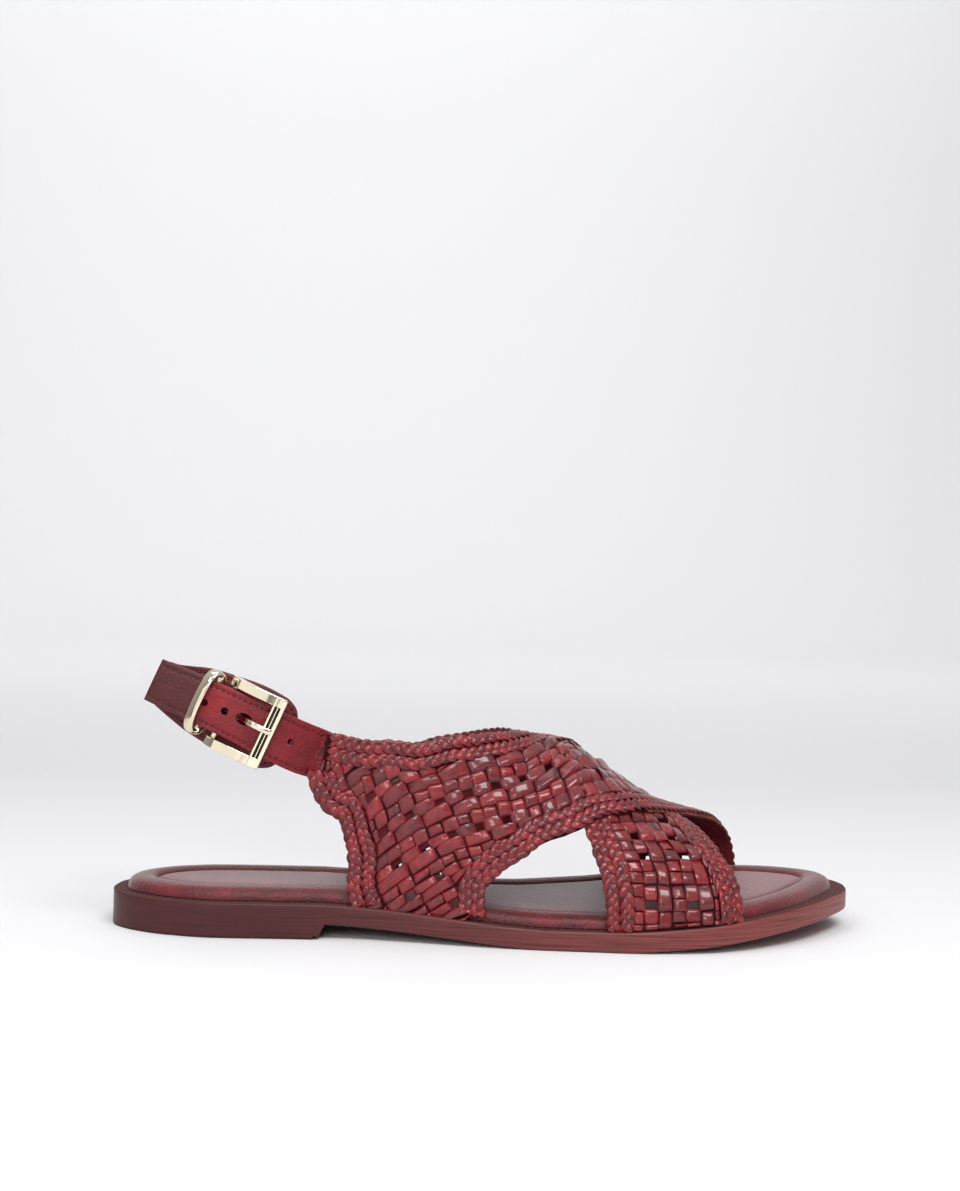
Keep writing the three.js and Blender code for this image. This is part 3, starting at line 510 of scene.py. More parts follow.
@dataclass(frozen=True)
class SoleBoard(Finish):
    """Leather board, ground and waxed: fine lines along the edge, a raw brownish upper ledge.

    Reads "ledge" (0 side, 1 upper face) and "run" (mm round the sole, mm up). It is paler
    towards the toe.
    """

    deep: str = "#371114"
    body: str = "#46181a"
    toe: str = "#8c4642"
    ledge: str = "#4e312c"
    speck_mm: float = 0.45
    relief_mm: float = 0.12

    def sockets(self, tree: bpy.types.NodeTree) -> dict[str, object]:
        """Lines are noise stretched some fifty times along the edge; the ledge is a rough speckle.

        Args:
            tree: the material's nodes.

        Returns:
            Values and links by socket.
        """
        where = add(tree, "TexCoord", out="Object")
        run = add(tree, "Attribute", out="Vector", attribute_name="run")
        ledge = add(tree, "Attribute", out="Fac", attribute_name="ledge")
        stretched = add(tree, "VectorMath", {0: run, 1: (0.035, 1.9, 1.0)}, operation="MULTIPLY")
        lines = add(tree, "TexNoise", {"Vector": stretched, "Scale": 1.0, "Detail": 4.0})
        speck = add(tree, "TexNoise", {"Vector": where, "Scale": per_metre(self.speck_mm), "Detail": 4.0})
        ahead = add(tree, "SeparateXYZ", {"Vector": where}, "X")
        forward = add(tree, "MapRange", {"Value": ahead, "From Min": 0.02, "From Max": 0.2})
        body = add(tree, "Mix", {SHARE: forward, FIRST: linear(self.body), SECOND: linear(self.toe)},
                   MIXED, data_type="RGBA")
        lined = add(tree, "MapRange", {"Value": lines, "From Min": 0.3, "From Max": 0.6, "To Min": 0.2})
        side = add(tree, "Mix", {SHARE: lined, FIRST: linear(self.deep), SECOND: body}, MIXED,
                   data_type="RGBA")
        rubbed = add(tree, "MapRange", {"Value": speck, "From Min": 0.35, "From Max": 0.7})
        raw = add(tree, "Mix", {SHARE: rubbed, FIRST: linear(self.ledge), SECOND: linear(self.body)},
                  MIXED, data_type="RGBA")
        colour = add(tree, "Mix", {SHARE: ledge, FIRST: side, SECOND: raw}, MIXED, data_type="RGBA")
        height = add(tree, "Math", {0: lines, 1: 0.5, 2: speck}, operation="MULTIPLY_ADD")
        bump = add(tree, "Bump", {"Height": height, "Strength": 0.3, "Distance": self.relief_mm * METRES})
        rough = add(tree, "MapRange", {"Value": ledge, "To Min": 0.42, "To Max": 0.8})
        return {"Base Color": colour, "Roughness": rough, "Normal": bump, "Specular IOR Level": 0.35}


@dataclass(frozen=True)
class PlatedMetal(Finish):
    """Zinc casting plated in pale gold and buffed: mirror shine with faint rubbing marks.

    Reads "recess" (0 to 1): painted shade, near black, in the front bar's grooves and on the prong's root and
    eye.
    """

    colour: str = "#e8dcc4"
    # painted shade for the recesses
    dark: str = "#2c2a22"
    roughness: float = 0.08
    rub_mm: float = 6.0

    def sockets(self, tree: bpy.types.NodeTree) -> dict[str, object]:
        """Roughness from patches of rubbing marks, which are too small to see singly.

        Args:
            tree: the material's nodes.

        Returns:
            Values and links by socket.
        """
        where = add(tree, "TexCoord", out="Object")
        rub = add(tree, "TexNoise", {"Vector": where, "Scale": per_metre(self.rub_mm), "Detail": 2.0})
        rough = add(tree, "MapRange", {"Value": rub, "From Min": 0.3, "From Max": 0.7,
                                       "To Min": self.roughness - 0.01, "To Max": self.roughness + 0.02})
        recess = add(tree, "Attribute", out="Fac", attribute_name="recess")
        colour = add(tree, "Mix", {SHARE: recess, FIRST: linear(self.colour), SECOND: linear(self.dark)},
                     MIXED, data_type="RGBA")
        return {"Base Color": colour, "Metallic": 1.0, "Roughness": rough}


@dataclass(frozen=True)
class WaxedThread(Finish):
    """Bonded polyester thread, waxed: twisted plies that catch small lights."""

    deep: str = "#30080d"
    colour: str = "#5e0f18"
    ply_mm: float = 0.25
    relief_mm: float = 0.1

    def sockets(self, tree: bpy.types.NodeTree) -> dict[str, object]:
        """Plies as a fine noise in colour and bump.

        Args:
            tree: the material's nodes.

        Returns:
            Values and links by socket.
        """
        where = add(tree, "TexCoord", out="Object")
        ply = add(tree, "TexNoise", {"Vector": where, "Scale": per_metre(self.ply_mm), "Detail": 2.0})
        lit = add(tree, "MapRange", {"Value": ply, "From Min": 0.35, "From Max": 0.65})
        colour = add(tree, "Mix", {SHARE: lit, FIRST: linear(self.deep), SECOND: linear(self.colour)},
                     MIXED, data_type="RGBA")
        bump = add(tree, "Bump", {"Height": ply, "Strength": 0.5, "Distance": self.relief_mm * METRES})
        return {"Base Color": colour, "Roughness": 0.5, "Normal": bump}


@dataclass(frozen=True)
class Paper(Finish):
    """Studio background paper: matt and almost white."""

    colour: str = "#dfdfe0"
    shade: str = "#dcdcde"
    tooth_mm: float = 60.0

    def sockets(self, tree: bpy.types.NodeTree) -> dict[str, object]:
        """One even matt tone with a hardly visible unevenness.

        Args:
            tree: the material's nodes.

        Returns:
            Values and links by socket.
        """
        where = add(tree, "TexCoord", out="Object")
        tooth = add(tree, "TexNoise", {"Vector": where, "Scale": per_metre(self.tooth_mm)})
        uneven = add(tree, "MapRange", {"Value": tooth, "To Max": 0.04})
        colour = add(tree, "Mix", {SHARE: uneven, FIRST: linear(self.colour), SECOND: linear(self.shade)},
                     MIXED, data_type="RGBA")
        return {"Base Color": colour, "Roughness": 0.95, "Specular IOR Level": 0.05}


RAW_EDGE = SmoothLeather("raw_cut_leather_edge", deep="#54201a", body="#80402e", roughness=0.7, coat=0.0)
STRIPS = StripLeather("glazed_calf_cut_strips")
PLAITS = StripLeather("glazed_calf_plaited_cords", body="#640b14", bright="#8a161f", crease_mm=0.5,
                      coat=0.55)
# other: painted shade on the strap's tip past the keeper, which turns away from the light.
STRAP_CALF = SmoothLeather("drum_dyed_calf_strap", deep="#640e16", body="#87131d", roughness=0.42,
                           grain_mm=0.8, bump=0.9, relief_mm=0.25, other="#2c0c0e")
SLING_CALF = SmoothLeather("drum_dyed_calf_sling", deep="#4a1016", body="#6c141c", roughness=0.48)
LINING = SplitLining("split_leather_lining_painted_shade_core")
# other: a paler colour painted on the footbed's middle panel as its sheen.
NAPPA = SmoothLeather("nappa_over_foam_footbed", deep="#4a0c12", body="#6c131b", roughness=0.4,
                      grain_mm=1.0, cloud_mm=10.0, bump=0.8, relief_mm=0.3, coat=0.1, sheen=0.32,
                      other="#986266")
BOARD = SoleBoard("ground_waxed_leather_board")
GOLD = PlatedMetal("pale_gold_plated_zinc_buffed")
THREAD = WaxedThread("bonded_waxed_thread")
PAPER = Paper("studio_paper_matt")


# ---------------------------------------------------------------- sole and footbed
@dataclass
class SoleOutline:
    """The sole's edge in plan, as matching points of the outer and inner side."""

    steps: int = 170
    heel_front: tuple[float, ...] = (66.9, 67.8, 68.4, 69.0, 69.6, 70.2, 71.0)
    rounded: tuple[float, float] = (14.0, 236.0)
    passes: int = 4

    def loop(self) -> np.ndarray:
        """Points round the edge: along the outer side to the toe, back along the inner side.

        Stations are spaced as one less the cosine of an even angle, so that they crowd at heel and
        toe, and the ends are rounded by averaging neighbours.

        Returns:
            N by 2, along the sole and across it.
        """
        turn = np.pi * (np.arange(self.steps) + 0.5) / self.steps
        s = np.sort(np.concatenate([SOLE_LENGTH / 2 * (1 - np.cos(turn)), self.heel_front]))
        outer = np.stack([s, -through(PLAN, s, "outer")], -1)
        inner = np.stack([s, through(PLAN, s, "inner")], -1)
        ring = np.concatenate([outer, inner[::-1]])
        for _ in range(self.passes):
            average = (np.roll(ring, 1, 0) + 2 * ring + np.roll(ring, -1, 0)) / 4
            at_end = (ring[:, :1] < self.rounded[0]) | (ring[:, :1] > self.rounded[1])
            ring = np.where(at_end, average, ring)
        return ring

    @staticmethod
    def outward(ring: np.ndarray) -> np.ndarray:
        """Unit vectors across the edge: the tangent through both neighbours, turned a right angle."""
        along = unit(np.roll(ring, -1, 0) - np.roll(ring, 1, 0))
        return np.stack([along[:, 1], -along[:, 0]], -1)

    def edge(self) -> tuple[np.ndarray, np.ndarray]:
        """The loop and the unit vectors across it."""
        ring = self.loop()
        return ring, self.outward(ring)


@dataclass
class Outsole:
    """The sole with its heel block, edge lines and the heel's serrated tread."""

    fillet: float = 0.7
    heel_end: float = 67.8
    breast: float = 2.4
    rebate: float = 3.4
    shelf: float = 0.55
    tooth: float = 1.05
    depth: float = 0.7
    rim_end: float = 67.4
    rim_height: float = 1.3
    rim_faces: tuple[float, float] = (0.03, -1.0)
    stitch_inset: float = 2.75
    outline: SoleOutline = field(default_factory=SoleOutline)

    def bottom(self, s: np.ndarray) -> np.ndarray:
        """Height of the underside: nothing under the heel block, whose front leans to the arch."""
        rise = np.clip((s - self.heel_end) / self.breast, 0, 1)
        return through(UNDERSIDE, s, "z") * rise

    def build(self) -> list[bpy.types.Object]:
        """The board: levels of inset and height round the edge, spanned across at both ends.

        Under the heel the underside stands back from the serrated rim that is set round it.

        Returns:
            The board, the rim and the ledge's stitches.
        """
        ring, out = self.outline.edge()
        turn = np.linspace(0, np.pi / 2, 5)
        low = [(self.fillet * (1 - np.sin(a)), 0, self.fillet * (1 - np.cos(a))) for a in turn]
        low.append((0.0, 0, self.fillet + 0.02))
        high = [(self.fillet * (1 - np.cos(a)), 1, -self.fillet * (1 - np.sin(a))) for a in turn]
        side = [(0, share, 0) for share in (0.3, 0.5, 0.7)]
        top = [(inset, 1, 0) for inset in (1.6, 3.0, 6.0)]
        levels, marks, runs = [], [], []
        length = np.cumsum(np.linalg.norm(ring - np.roll(ring, 1, 0), axis=1))
        under_heel = 1 - eased(67.0, self.heel_end, ring[:, 0])
        for inset, share, lift in [*low, *side, *high, *top]:
            on_shelf = lift > self.fillet
            back = (self.rebate - inset) * under_heel * (share == 0 and not on_shelf)
            lift = lift + (share == 0) * under_heel * (self.shelf if on_shelf else 0.5 * lift / self.fillet)
            at = ring - out * (inset + back)[:, None]
            floor, roof = self.bottom(ring[:, 0]), sole_top(ring[:, 0])
            z = floor + (roof - floor) * share + lift
            levels.append(place(at[:, 0], at[:, 1], z))
            marks.append(np.full(len(ring), float(share == 1 and inset > 0.35)))
            runs.append(np.stack([length, z, np.zeros_like(z)], -1))
        points = np.concatenate(levels)
        sole = solid("sole_board", points, spanned(len(levels), len(ring)), 60)
        mark(sole, "ledge", np.concatenate(marks))
        mark(sole, "run", np.concatenate(runs))
        return [finished(sole, BOARD, "outsole", "outsole"), self.tread(), self.ledge_stitches()]

    def tread(self) -> bpy.types.Object:
        """The heel's serrated foot: a thin rim whose lower edge is a triangle wave of one tooth.

        Returns:
            The rim.
        """
        ring, out = self.outline.edge()
        first = int(np.argmin(ring[:, 0] < self.rim_end))
        order = np.r_[np.arange(len(ring) - first, len(ring)), np.arange(first)]
        order = order[ring[order, 0] < self.rim_end]
        along = run_along(ring[order])
        fine = np.arange(0, along[-1], self.tooth / 2)
        even, away = read_at(fine, along, ring[order]), unit(read_at(fine, along, out[order]))
        wave = self.depth * (np.arange(len(fine)) % 2)
        top = np.full(len(fine), self.rim_height)
        outer, inner = self.rim_faces
        rows = [(outer, top), (outer, wave), (inner, wave), (inner, top)]
        rings = np.stack([place(*(even + away * o).T, z + 0.02) for o, z in rows], 1)
        rim = solid("heel_tread_rim", *lofted(rings), 25)
        mark(rim, "ledge", np.zeros(len(rim.data.vertices)))
        mark(rim, "run", rings.reshape(-1, 3))
        return finished(rim, BOARD, "outsole")

    def ledge_stitches(self) -> bpy.types.Object:
        """Short stitches in the ledge, close to the footbed.

        Returns:
            The stitches.
        """
        ring, out = self.outline.edge()
        at = ring - out * self.stitch_inset
        line = place(at[:, 0], at[:, 1], sole_top(ring[:, 0]) + 0.05)
        up = np.tile([0.0, 0.0, 1.0], (len(line), 1))
        return finished(Stitches(1.5, 1.0, 0.2).build("ledge_stitches", line, up), THREAD, "outsole")


@dataclass
class Footbed:
    """Padded footbed: a puffed rim, a sewn groove and a flatter middle panel."""

    count: int = 300
    step: float = 0.7
    fill: float = 0.7
    panel_painted_sheen: float = 0.38
    profile: np.ndarray = field(default_factory=lambda: named(
        "inset rise", (0, 0), (0.1, 1.0), (0.4, 1.9), (1.2, 2.85), (2.9, 3.6), (5.4, 3.9), (7.4, 3.6),
        (8.6, 2.95), (9.25, 2.1), (9.6, 2.15), (10.3, 2.75), (11.6, 3.1), (14, 3.25), (19, 3.3)))

    def ledge(self, s: np.ndarray) -> np.ndarray:
        """Width of sole left bare: more at the back and at the toe than along the sides."""
        return 3.6 + 1.0 * (1 - eased(2, 30, s)) + 1.8 * eased(220, 247, s)

    def inset(self, ring: np.ndarray, distance: np.ndarray | float) -> np.ndarray:
        """A ring moved in across its own edge, its corners eased by averaging neighbours."""
        moved = ring - SoleOutline.outward(ring) * np.broadcast_to(distance, len(ring))[:, None]
        return (np.roll(moved, 1, 0) + 4 * moved + np.roll(moved, -1, 0)) / 6

    def build(self) -> bpy.types.Object:
        """Rings moved in step by step, each raised as the profile says, spanned across inside.

        Returns:
            The footbed.
        """
        dense = SoleOutline().loop()
        along = run_along(dense)
        ring = read_at(np.linspace(0, along[-1], self.count, endpoint=False), along, dense)
        ring = self.inset(ring, self.ledge(ring[:, 0]))
        insets = np.concatenate([
            [0, 0.05, 0.1, 0.2, 0.4, 0.8, 1.2], np.arange(1.9, 8.2, self.step),
            [8.4, 8.7, 8.95, 9.15, 9.3, 9.45, 9.7, 10.1, 10.7, 11.4, 12.4, 14, 16.5]])
        rings, reached = [], 0.0
        for inset in insets:
            if inset > reached:
                ring = self.inset(ring, inset - reached)
                reached = inset
            rise = through(self.profile, inset, "rise")
            rings.append(place(ring[:, 0], ring[:, 1], sole_top(ring[:, 0]) + GAP + rise))
        bed = solid("padded_footbed", np.concatenate(rings), spanned(len(rings), self.count), 80)
        # Painted sheen: the middle panel is blended towards NAPPA's paler second colour.
        mark(bed, "other", np.repeat(self.panel_painted_sheen * eased(9.3, 11.5, insets), self.count))
        return finished(bed, NAPPA, "insole", "insole")


# ---------------------------------------------------------------- stitches
@dataclass(frozen=True)
class Stitches:
    """A row of stitches: each a small bead of thread that dips into the leather at its ends."""

    length: float = 1.3
    gap: float = 0.6
    radius: float = 0.32
    rings: int = 5
    sides: int = 6

    def build(self, name: str, line: np.ndarray, up: np.ndarray) -> bpy.types.Object:
        """Stitches along a line.

        A bead's ring stands at share u of its length, with radius as the square root of
        one less nine tenths of (2u - 1) to the fourth, and dips by half the radius times
        (2u - 1) squared.

        Args:
            name: the piece's name.
            line: points of the line, millimetres.
            up: unit vectors out of the leather at each point.

        Returns:
            All the beads as one piece.
        """
        along = run_along(line)
        starts = np.arange(self.gap / 2, along[-1] - self.length, self.length + self.gap)
        share = np.linspace(0.02, 0.98, self.rings)
        at = starts[:, None] + share[None, :] * self.length
        middle, rise = read_at(at, along, line), unit(read_at(at, along, up))
        ahead = unit(np.gradient(middle, axis=1))
        side = unit(np.cross(ahead, rise))
        swell = np.sqrt(1 - (2 * share - 1) ** 4 * 0.9) * self.radius
        dip = 0.5 * self.radius * (2 * share - 1) ** 2
        turn = full_turn(self.sides)
        rings = (middle - rise * dip[:, None])[:, :, None, :] + swell[None, :, None, None] * (
            side[:, :, None, :] * np.cos(turn)[:, None] + rise[:, :, None, :] * np.sin(turn)[:, None])
        cells = quads(self.rings, self.sides, True)
        first = np.arange(self.sides)
        ends = np.stack([first[::-1], first + (self.rings - 1) * self.sides])
        shift = (np.arange(len(starts)) * self.rings * self.sides)[:, None, None]
        faces = [(cells[None] + shift).reshape(-1, 4), (ends[None] + shift).reshape(-1, self.sides)]
        return solid(name, rings.reshape(-1, 3), faces, 80)


# ---------------------------------------------------------------- the last and its woven bands
class Last:
    """The foot form under the bands: superellipse sections along the sole.

    A section's radius at angle a is (|cos a / half width|^p + (sin a / height)^p)^(-1/p); t is the
    share of its arc from the outer foot over the crest.
    """

    STATION_STEP = 0.5
    ARC_STEPS = 240

    def __init__(self) -> None:
        """Tabulates the angle for even arc shares at even stations."""
        self.stations = np.arange(56.0, 226.0, self.STATION_STEP)
        angle = np.linspace(0, np.pi, 145)
        points = self.section(self.stations[:, None], angle[None, :], 0.0)
        step = np.linalg.norm(np.diff(points, axis=1), axis=-1)
        share = np.concatenate([np.zeros((len(step), 1)), np.cumsum(step, 1)], 1)
        share /= share[:, -1:]
        even = np.linspace(0, 1, self.ARC_STEPS + 1)
        self.angles = np.array([np.interp(even, row, angle) for row in share])

    @staticmethod
    def section(s: np.ndarray, angle: np.ndarray, offset: np.ndarray | float) -> np.ndarray:
        """Points at an angle of the sections at s, offset outwards.

        Args:
            s: stations along the sole.
            angle: from the outer foot, over the crest, to the inner foot.
            offset: millimetres out of the last.

        Returns:
            Points of the part's frame.
        """
        outer = -through(PLAN, s, "outer") + FOOT_INSET
        inner = through(PLAN, s, "inner") - FOOT_INSET
        half, height = (inner - outer) / 2 + offset, through(CREST, s, "h") + offset
        across, rise = np.cos(angle), np.maximum(np.sin(angle), 0)
        radius = ((np.abs(across) / half) ** SECTION_POWER
                  + (rise / height) ** SECTION_POWER) ** (-1 / SECTION_POWER)
        lean = RIDGE_SHIFT * rise ** 2 * np.minimum(1, 52.5 / height)
        return place(s, (outer + inner) / 2 - radius * across + lean, sole_top(s) + GAP + radius * rise)

    def point(self, s: np.ndarray, t: np.ndarray, offset: np.ndarray | float) -> np.ndarray:
        """Points at arc shares t of the sections at s, the angle read between table entries.

        Beyond the feet, t below 0 or above 1, the wall goes straight down.

        Args:
            s: stations along the sole.
            t: shares of the arc.
            offset: millimetres out of the last.

        Returns:
            Points of the part's frame.
        """
        s, t, offset = np.broadcast_arrays(s, t, offset)
        sunk = np.minimum(t, 0) - np.maximum(t - 1, 0)
        t = np.clip(t, 0, 1)
        row = np.clip((s - self.stations[0]) / self.STATION_STEP, 0, len(self.stations) - 1.001)
        column = np.clip(t * self.ARC_STEPS, 0, self.ARC_STEPS - 0.001)
        i, j = row.astype(int), column.astype(int)
        u, v = row - i, column - j
        angle = ((1 - u) * ((1 - v) * self.angles[i, j] + v * self.angles[i, j + 1])
                 + u * ((1 - v) * self.angles[i + 1, j] + v * self.angles[i + 1, j + 1]))
        return self.section(s, angle, offset) + sunk[..., None] * np.array([0.0, 0.0, ARC_LENGTH])


LAST = Last()

# One row for each column of gaps, from the wing to the far foot: two neighbouring gaps on the last
# (s2 t2, s3 t3) and the band's two edges in row pitches from the first of them
WEAVE = named(
    "col s2 t2 s3 t3 collar front",
    (-2, 72.4, 0.045, 75.5, -0.004, -3.3, 0.92), (-1, 80.5, 0.079, 84.2, 0.033, -3, 1.72),
    (0, 88.6, 0.113, 92.9, 0.07, -2.5, 2.63), (1, 96.7, 0.147, 101.6, 0.107, -2.15, 3.68),
    (2, 106.1, 0.184, 110.4, 0.142, -1.75, 3.0), (3, 115, 0.223, 118.9, 0.173, -1.6, 2.45),
    (4, 124.1, 0.267, 127.5, 0.206, -1.45, 2.15), (5, 133.1, 0.307, 136.3, 0.24, -1.6, 1.9),
    (6, 141.8, 0.357, 145.2, 0.273, -1.6, 1.85), (7, 149, 0.405, 155, 0.312, -1.3, 1.65),
    (8, 155, 0.46, 162.8, 0.37, -1.15, 1.75), (9, 159, 0.53, 168.8, 0.435, -0.95, 1.7),
    (10, 162, 0.595, 173.3, 0.505, -0.9, 1.7), (11, 164.5, 0.657, 177.2, 0.58, -0.93, 1.68),
    (12, 166, 0.719, 180, 0.657, -0.95, 1.8), (13, 168.7, 0.77, 181.7, 0.735, -1.1, 2),
    (14, 171.1, 0.82, 184.6, 0.797, -1.1, 1.95), (15, 172.7, 0.875, 185.5, 0.868, -1.15, 2.18),
    (16, 172.9, 0.94, 186.4, 0.943, -1, 2.2), (17, 173, 1, 186.6, 1, -1, 2.2))
REAR = named(
    "row col braid", (-3, -1, 0.3), (-2.5, -1.45, 0.35), (-2, -1.95, 0.7), (-1.5, -1.6, 0.4),
    (-1, -1.33, 0.9), (0, -1.33, 0.9), (1, -1.7, 0.9), (2.6, -1.8, 0.9))
FOOT_CORNER = 1.15  # column where the front edge leaves the sole
ARC_LENGTH = 190.0  # of a section, for the wall that goes on below its feet
TUCK = 0.022  # share of the arc that the wing's foot may sink
LAST_COLUMN = 17.0
SHUT_COLUMN = 15.0  # woven without gaps
FIRST_ROW = -2.5
ROW_STEPS = 20
ROWS_A_PITCH = 3
COLUMN_STEP = 0.5
FIRST_COLUMN = -0.75
NARROWEST = -1.4  # no column line is read before it
SNAP = 0.1  # lines closer to a border than this lie on it
WING_FADE = (3, 8)  # columns over which the wing's drop dies away
FAR_FOOT = (7, 15)  # columns over which a band's reach comes in
CROSSING = (0.06, 0.2)  # shares of the arc over which a band lifts over the other
CORE_UNDER = 0.55  # how far the dark core lies under the wall's outer face
PAD_BASE = 0.6  # where pads start, out of the last
STRIP_WIDTH = 4.5


class Border(Enum):
    """The plaited borders of a band."""

    COLLAR = "collar"
    FRONT = "front"
    REAR = "rear"


class Weave(Enum):
    """What a strip does in one cell of the weave."""

    FLOAT = 0
    OVER_LEFT = 1
    OVER_RIGHT = 2
    BETWEEN_GAPS = 3
    FILL = 4


# By Weave value: a pad's height in millimetres, and the power that moves its crown along it
PAD_RISE = np.array([1.95, 1.45, 1.85, 1.3, 1.45])
PAD_CROWN = np.array([2.2, 1.15, 0.7, 1.0, 1.0])


@dataclass(frozen=True)
class Plait:
    """One three-cord plait along a border."""

    border: Border
    name: str
    shift: float
    width: float
    period: float


PLAIT_ROWS = (
    Plait(Border.COLLAR, "collar_high", -2.2, 4.8, 9.0), Plait(Border.COLLAR, "collar_low", 2.1, 4.8, 9.6),
    Plait(Border.FRONT, "front_high", -1.9, 4.6, 10.4), Plait(Border.FRONT, "front_low", 1.9, 4.6, 9.7),
    Plait(Border.REAR, "rear_outer", 1.9, 4.6, 8.0), Plait(Border.REAR, "rear_inner", -2.4, 5.2, 8.8))
CORD_SHARE = 0.27  # of a plait's width, half a cord's width
CORD_THICK = 0.55  # half a cord's thickness
CORD_HOP = 0.45  # how far it goes over and under
CORD_STEPS = 15  # rings in one period


@dataclass
class WovenBand:
    """One woven band with its wing: backing, strips and plaited borders."""

    name: str
    mirrored: bool
    wing_drop: float
    lift: float
    reach: float
    seed: int

    def on_last(self, col: np.ndarray, row: np.ndarray) -> tuple[np.ndarray, np.ndarray]:
        """Where a lattice point lies on the last: a straight step from gap to gap along its column.

        Args:
            col: columns.
            row: rows.

        Returns:
            Stations along the sole and shares of the arc.
        """
        s2, s3 = through(WEAVE, col, "s2"), through(WEAVE, col, "s3")
        t2, t3 = through(WEAVE, col, "t2"), through(WEAVE, col, "t3")
        s = s2 + row * (s3 - s2) + self.reach * eased(*FAR_FOOT, col)
        t0 = t2 + row * (t3 - t2)
        t = np.clip(t0 * (1 - self.wing_drop * (1 - eased(*WING_FADE, col)) * eased(0, 0.1, t0)), -TUCK, 1)
        return s, 1 - t if self.mirrored else t

    def point(self, col: np.ndarray, row: np.ndarray, offset: np.ndarray | float) -> np.ndarray:
        """Points of the band: the last at this offset, lifted where it crosses the other band.

        Args:
            col: columns.
            row: rows.
            offset: millimetres out of the last.

        Returns:
            Points of the part's frame.
        """
        s, t = self.on_last(col, row)
        lift = self.lift * eased(*CROSSING, t) * eased(*CROSSING, 1 - t)
        return LAST.point(s, t, offset + lift)

    @staticmethod
    def limits(col: np.ndarray, tuck: float = 0.0) -> dict[str, np.ndarray]:
        """Rows of the band's edges and of its borders' inner lines at a column.

        Args:
            col: columns.
            tuck: rows that the wing's foot goes on below the last.

        Returns:
            Rows by the edge's name.
        """
        s2, s3 = through(WEAVE, col, "s2"), through(WEAVE, col, "s3")
        t2, t3 = through(WEAVE, col, "t2"), through(WEAVE, col, "t3")
        pitch = np.linalg.norm(LAST.point(s2, t2, 0) - LAST.point(s3, t3, 0), axis=-1)
        collar, front = through(WEAVE, col, "collar"), through(WEAVE, col, "front")
        braid = BRAID / pitch
        foot = -t2 / np.minimum(t3 - t2, -1e-3) + tuck
        corner = eased(FOOT_CORNER, FOOT_CORNER + 0.8, col)
        at_foot = col <= FOOT_CORNER
        return {"collar": collar, "top": collar + braid,
                "bottom": np.where(at_foot, foot, front - braid * corner),
                "front": np.where(at_foot, foot, front)}

    def lattice(self, tuck: float = 0.0) -> tuple[np.ndarray, np.ndarray]:
        """Columns and rows of the cells' corners.

        Column lines are the rear border's two edges and then half pitches; row lines are the
        collar's two edges, then thirds of a pitch held between the borders, then the front's.
        Each depends a little on the other, so both are worked out four times over.

        Args:
            tuck: rows that the wing's foot goes on below the last.

        Returns:
            Two arrays, I by J.
        """
        count_i = 4 + int(np.ceil((LAST_COLUMN - FIRST_COLUMN) / COLUMN_STEP))
        i, j = np.meshgrid(np.arange(count_i), np.arange(ROW_STEPS + 5), indexing="ij")
        plain = FIRST_COLUMN + COLUMN_STEP * (i - 3.0)
        thirds = FIRST_ROW + (j - 2) / ROWS_A_PITCH
        row = thirds
        for _ in range(4):
            rear = through(REAR, row, "col")
            inner = rear + through(REAR, row, "braid")
            off_rear = np.where(plain - inner < SNAP, inner, plain)
            col = np.select([i == 0, i == 1, i == 2, i == count_i - 1],
                            [rear, (rear + inner) / 2, inner, np.full(row.shape, LAST_COLUMN)], off_rear)
            edge = self.limits(np.maximum(col, NARROWEST), tuck)
            held = np.clip(thirds, edge["top"], np.maximum(edge["top"], edge["bottom"]))
            held = np.where(np.abs(held - edge["top"]) < SNAP, edge["top"], held)
            held = np.where(np.abs(held - edge["bottom"]) < SNAP, edge["bottom"], held)
            row = np.select([j == 0, j == 1, j == ROW_STEPS + 3, j == ROW_STEPS + 4],
                            [edge["collar"], (edge["collar"] + edge["top"]) / 2,
                             (edge["bottom"] + edge["front"]) / 2, edge["front"]], held)
        return col, row

    def gaps(self, col: np.ndarray, row: np.ndarray) -> np.ndarray:
        """Which cells are open: whole cells at whole columns and rows, off the borders.

        Args:
            col: columns of the cells' corners.
            row: rows of the cells' corners.

        Returns:
            True for each open cell, one less each way than the corners.
        """
        i, j = np.meshgrid(np.arange(col.shape[0] - 1), np.arange(col.shape[1] - 1), indexing="ij")
        step = FIRST_ROW + (j - 2) / ROWS_A_PITCH + 1 / (2 * ROWS_A_PITCH)
        column = -1 + (i - 2) * COLUMN_STEP
        spot = (np.abs(step - np.round(step)) < 0.05) & (np.abs(column - np.round(column)) < 0.01)
        spot &= np.abs(column - SHUT_COLUMN) > 0.1
        wide = np.abs(np.diff(col, axis=0)[:, :-1] - COLUMN_STEP) < 0.06
        tall = np.diff(row, axis=1)
        whole = np.abs(tall - 1 / ROWS_A_PITCH) < 0.01
        here = whole[:-1] & whole[1:]
        open_before = np.roll(tall, 1, 1) > 0.12
        open_after = np.roll(tall, -1, 1) > 0.12
        free = open_before[:-1] & open_before[1:] & open_after[:-1] & open_after[1:]
        inside = (i > 1) & (i < col.shape[0] - 3) & (j > 2) & (j < col.shape[1] - 5)
        open_ = spot & wide & here & free & inside
        if self.mirrored:
            s, t = self.on_last(column, step)
            open_ &= ~over_band_covers(s, t)
        return open_

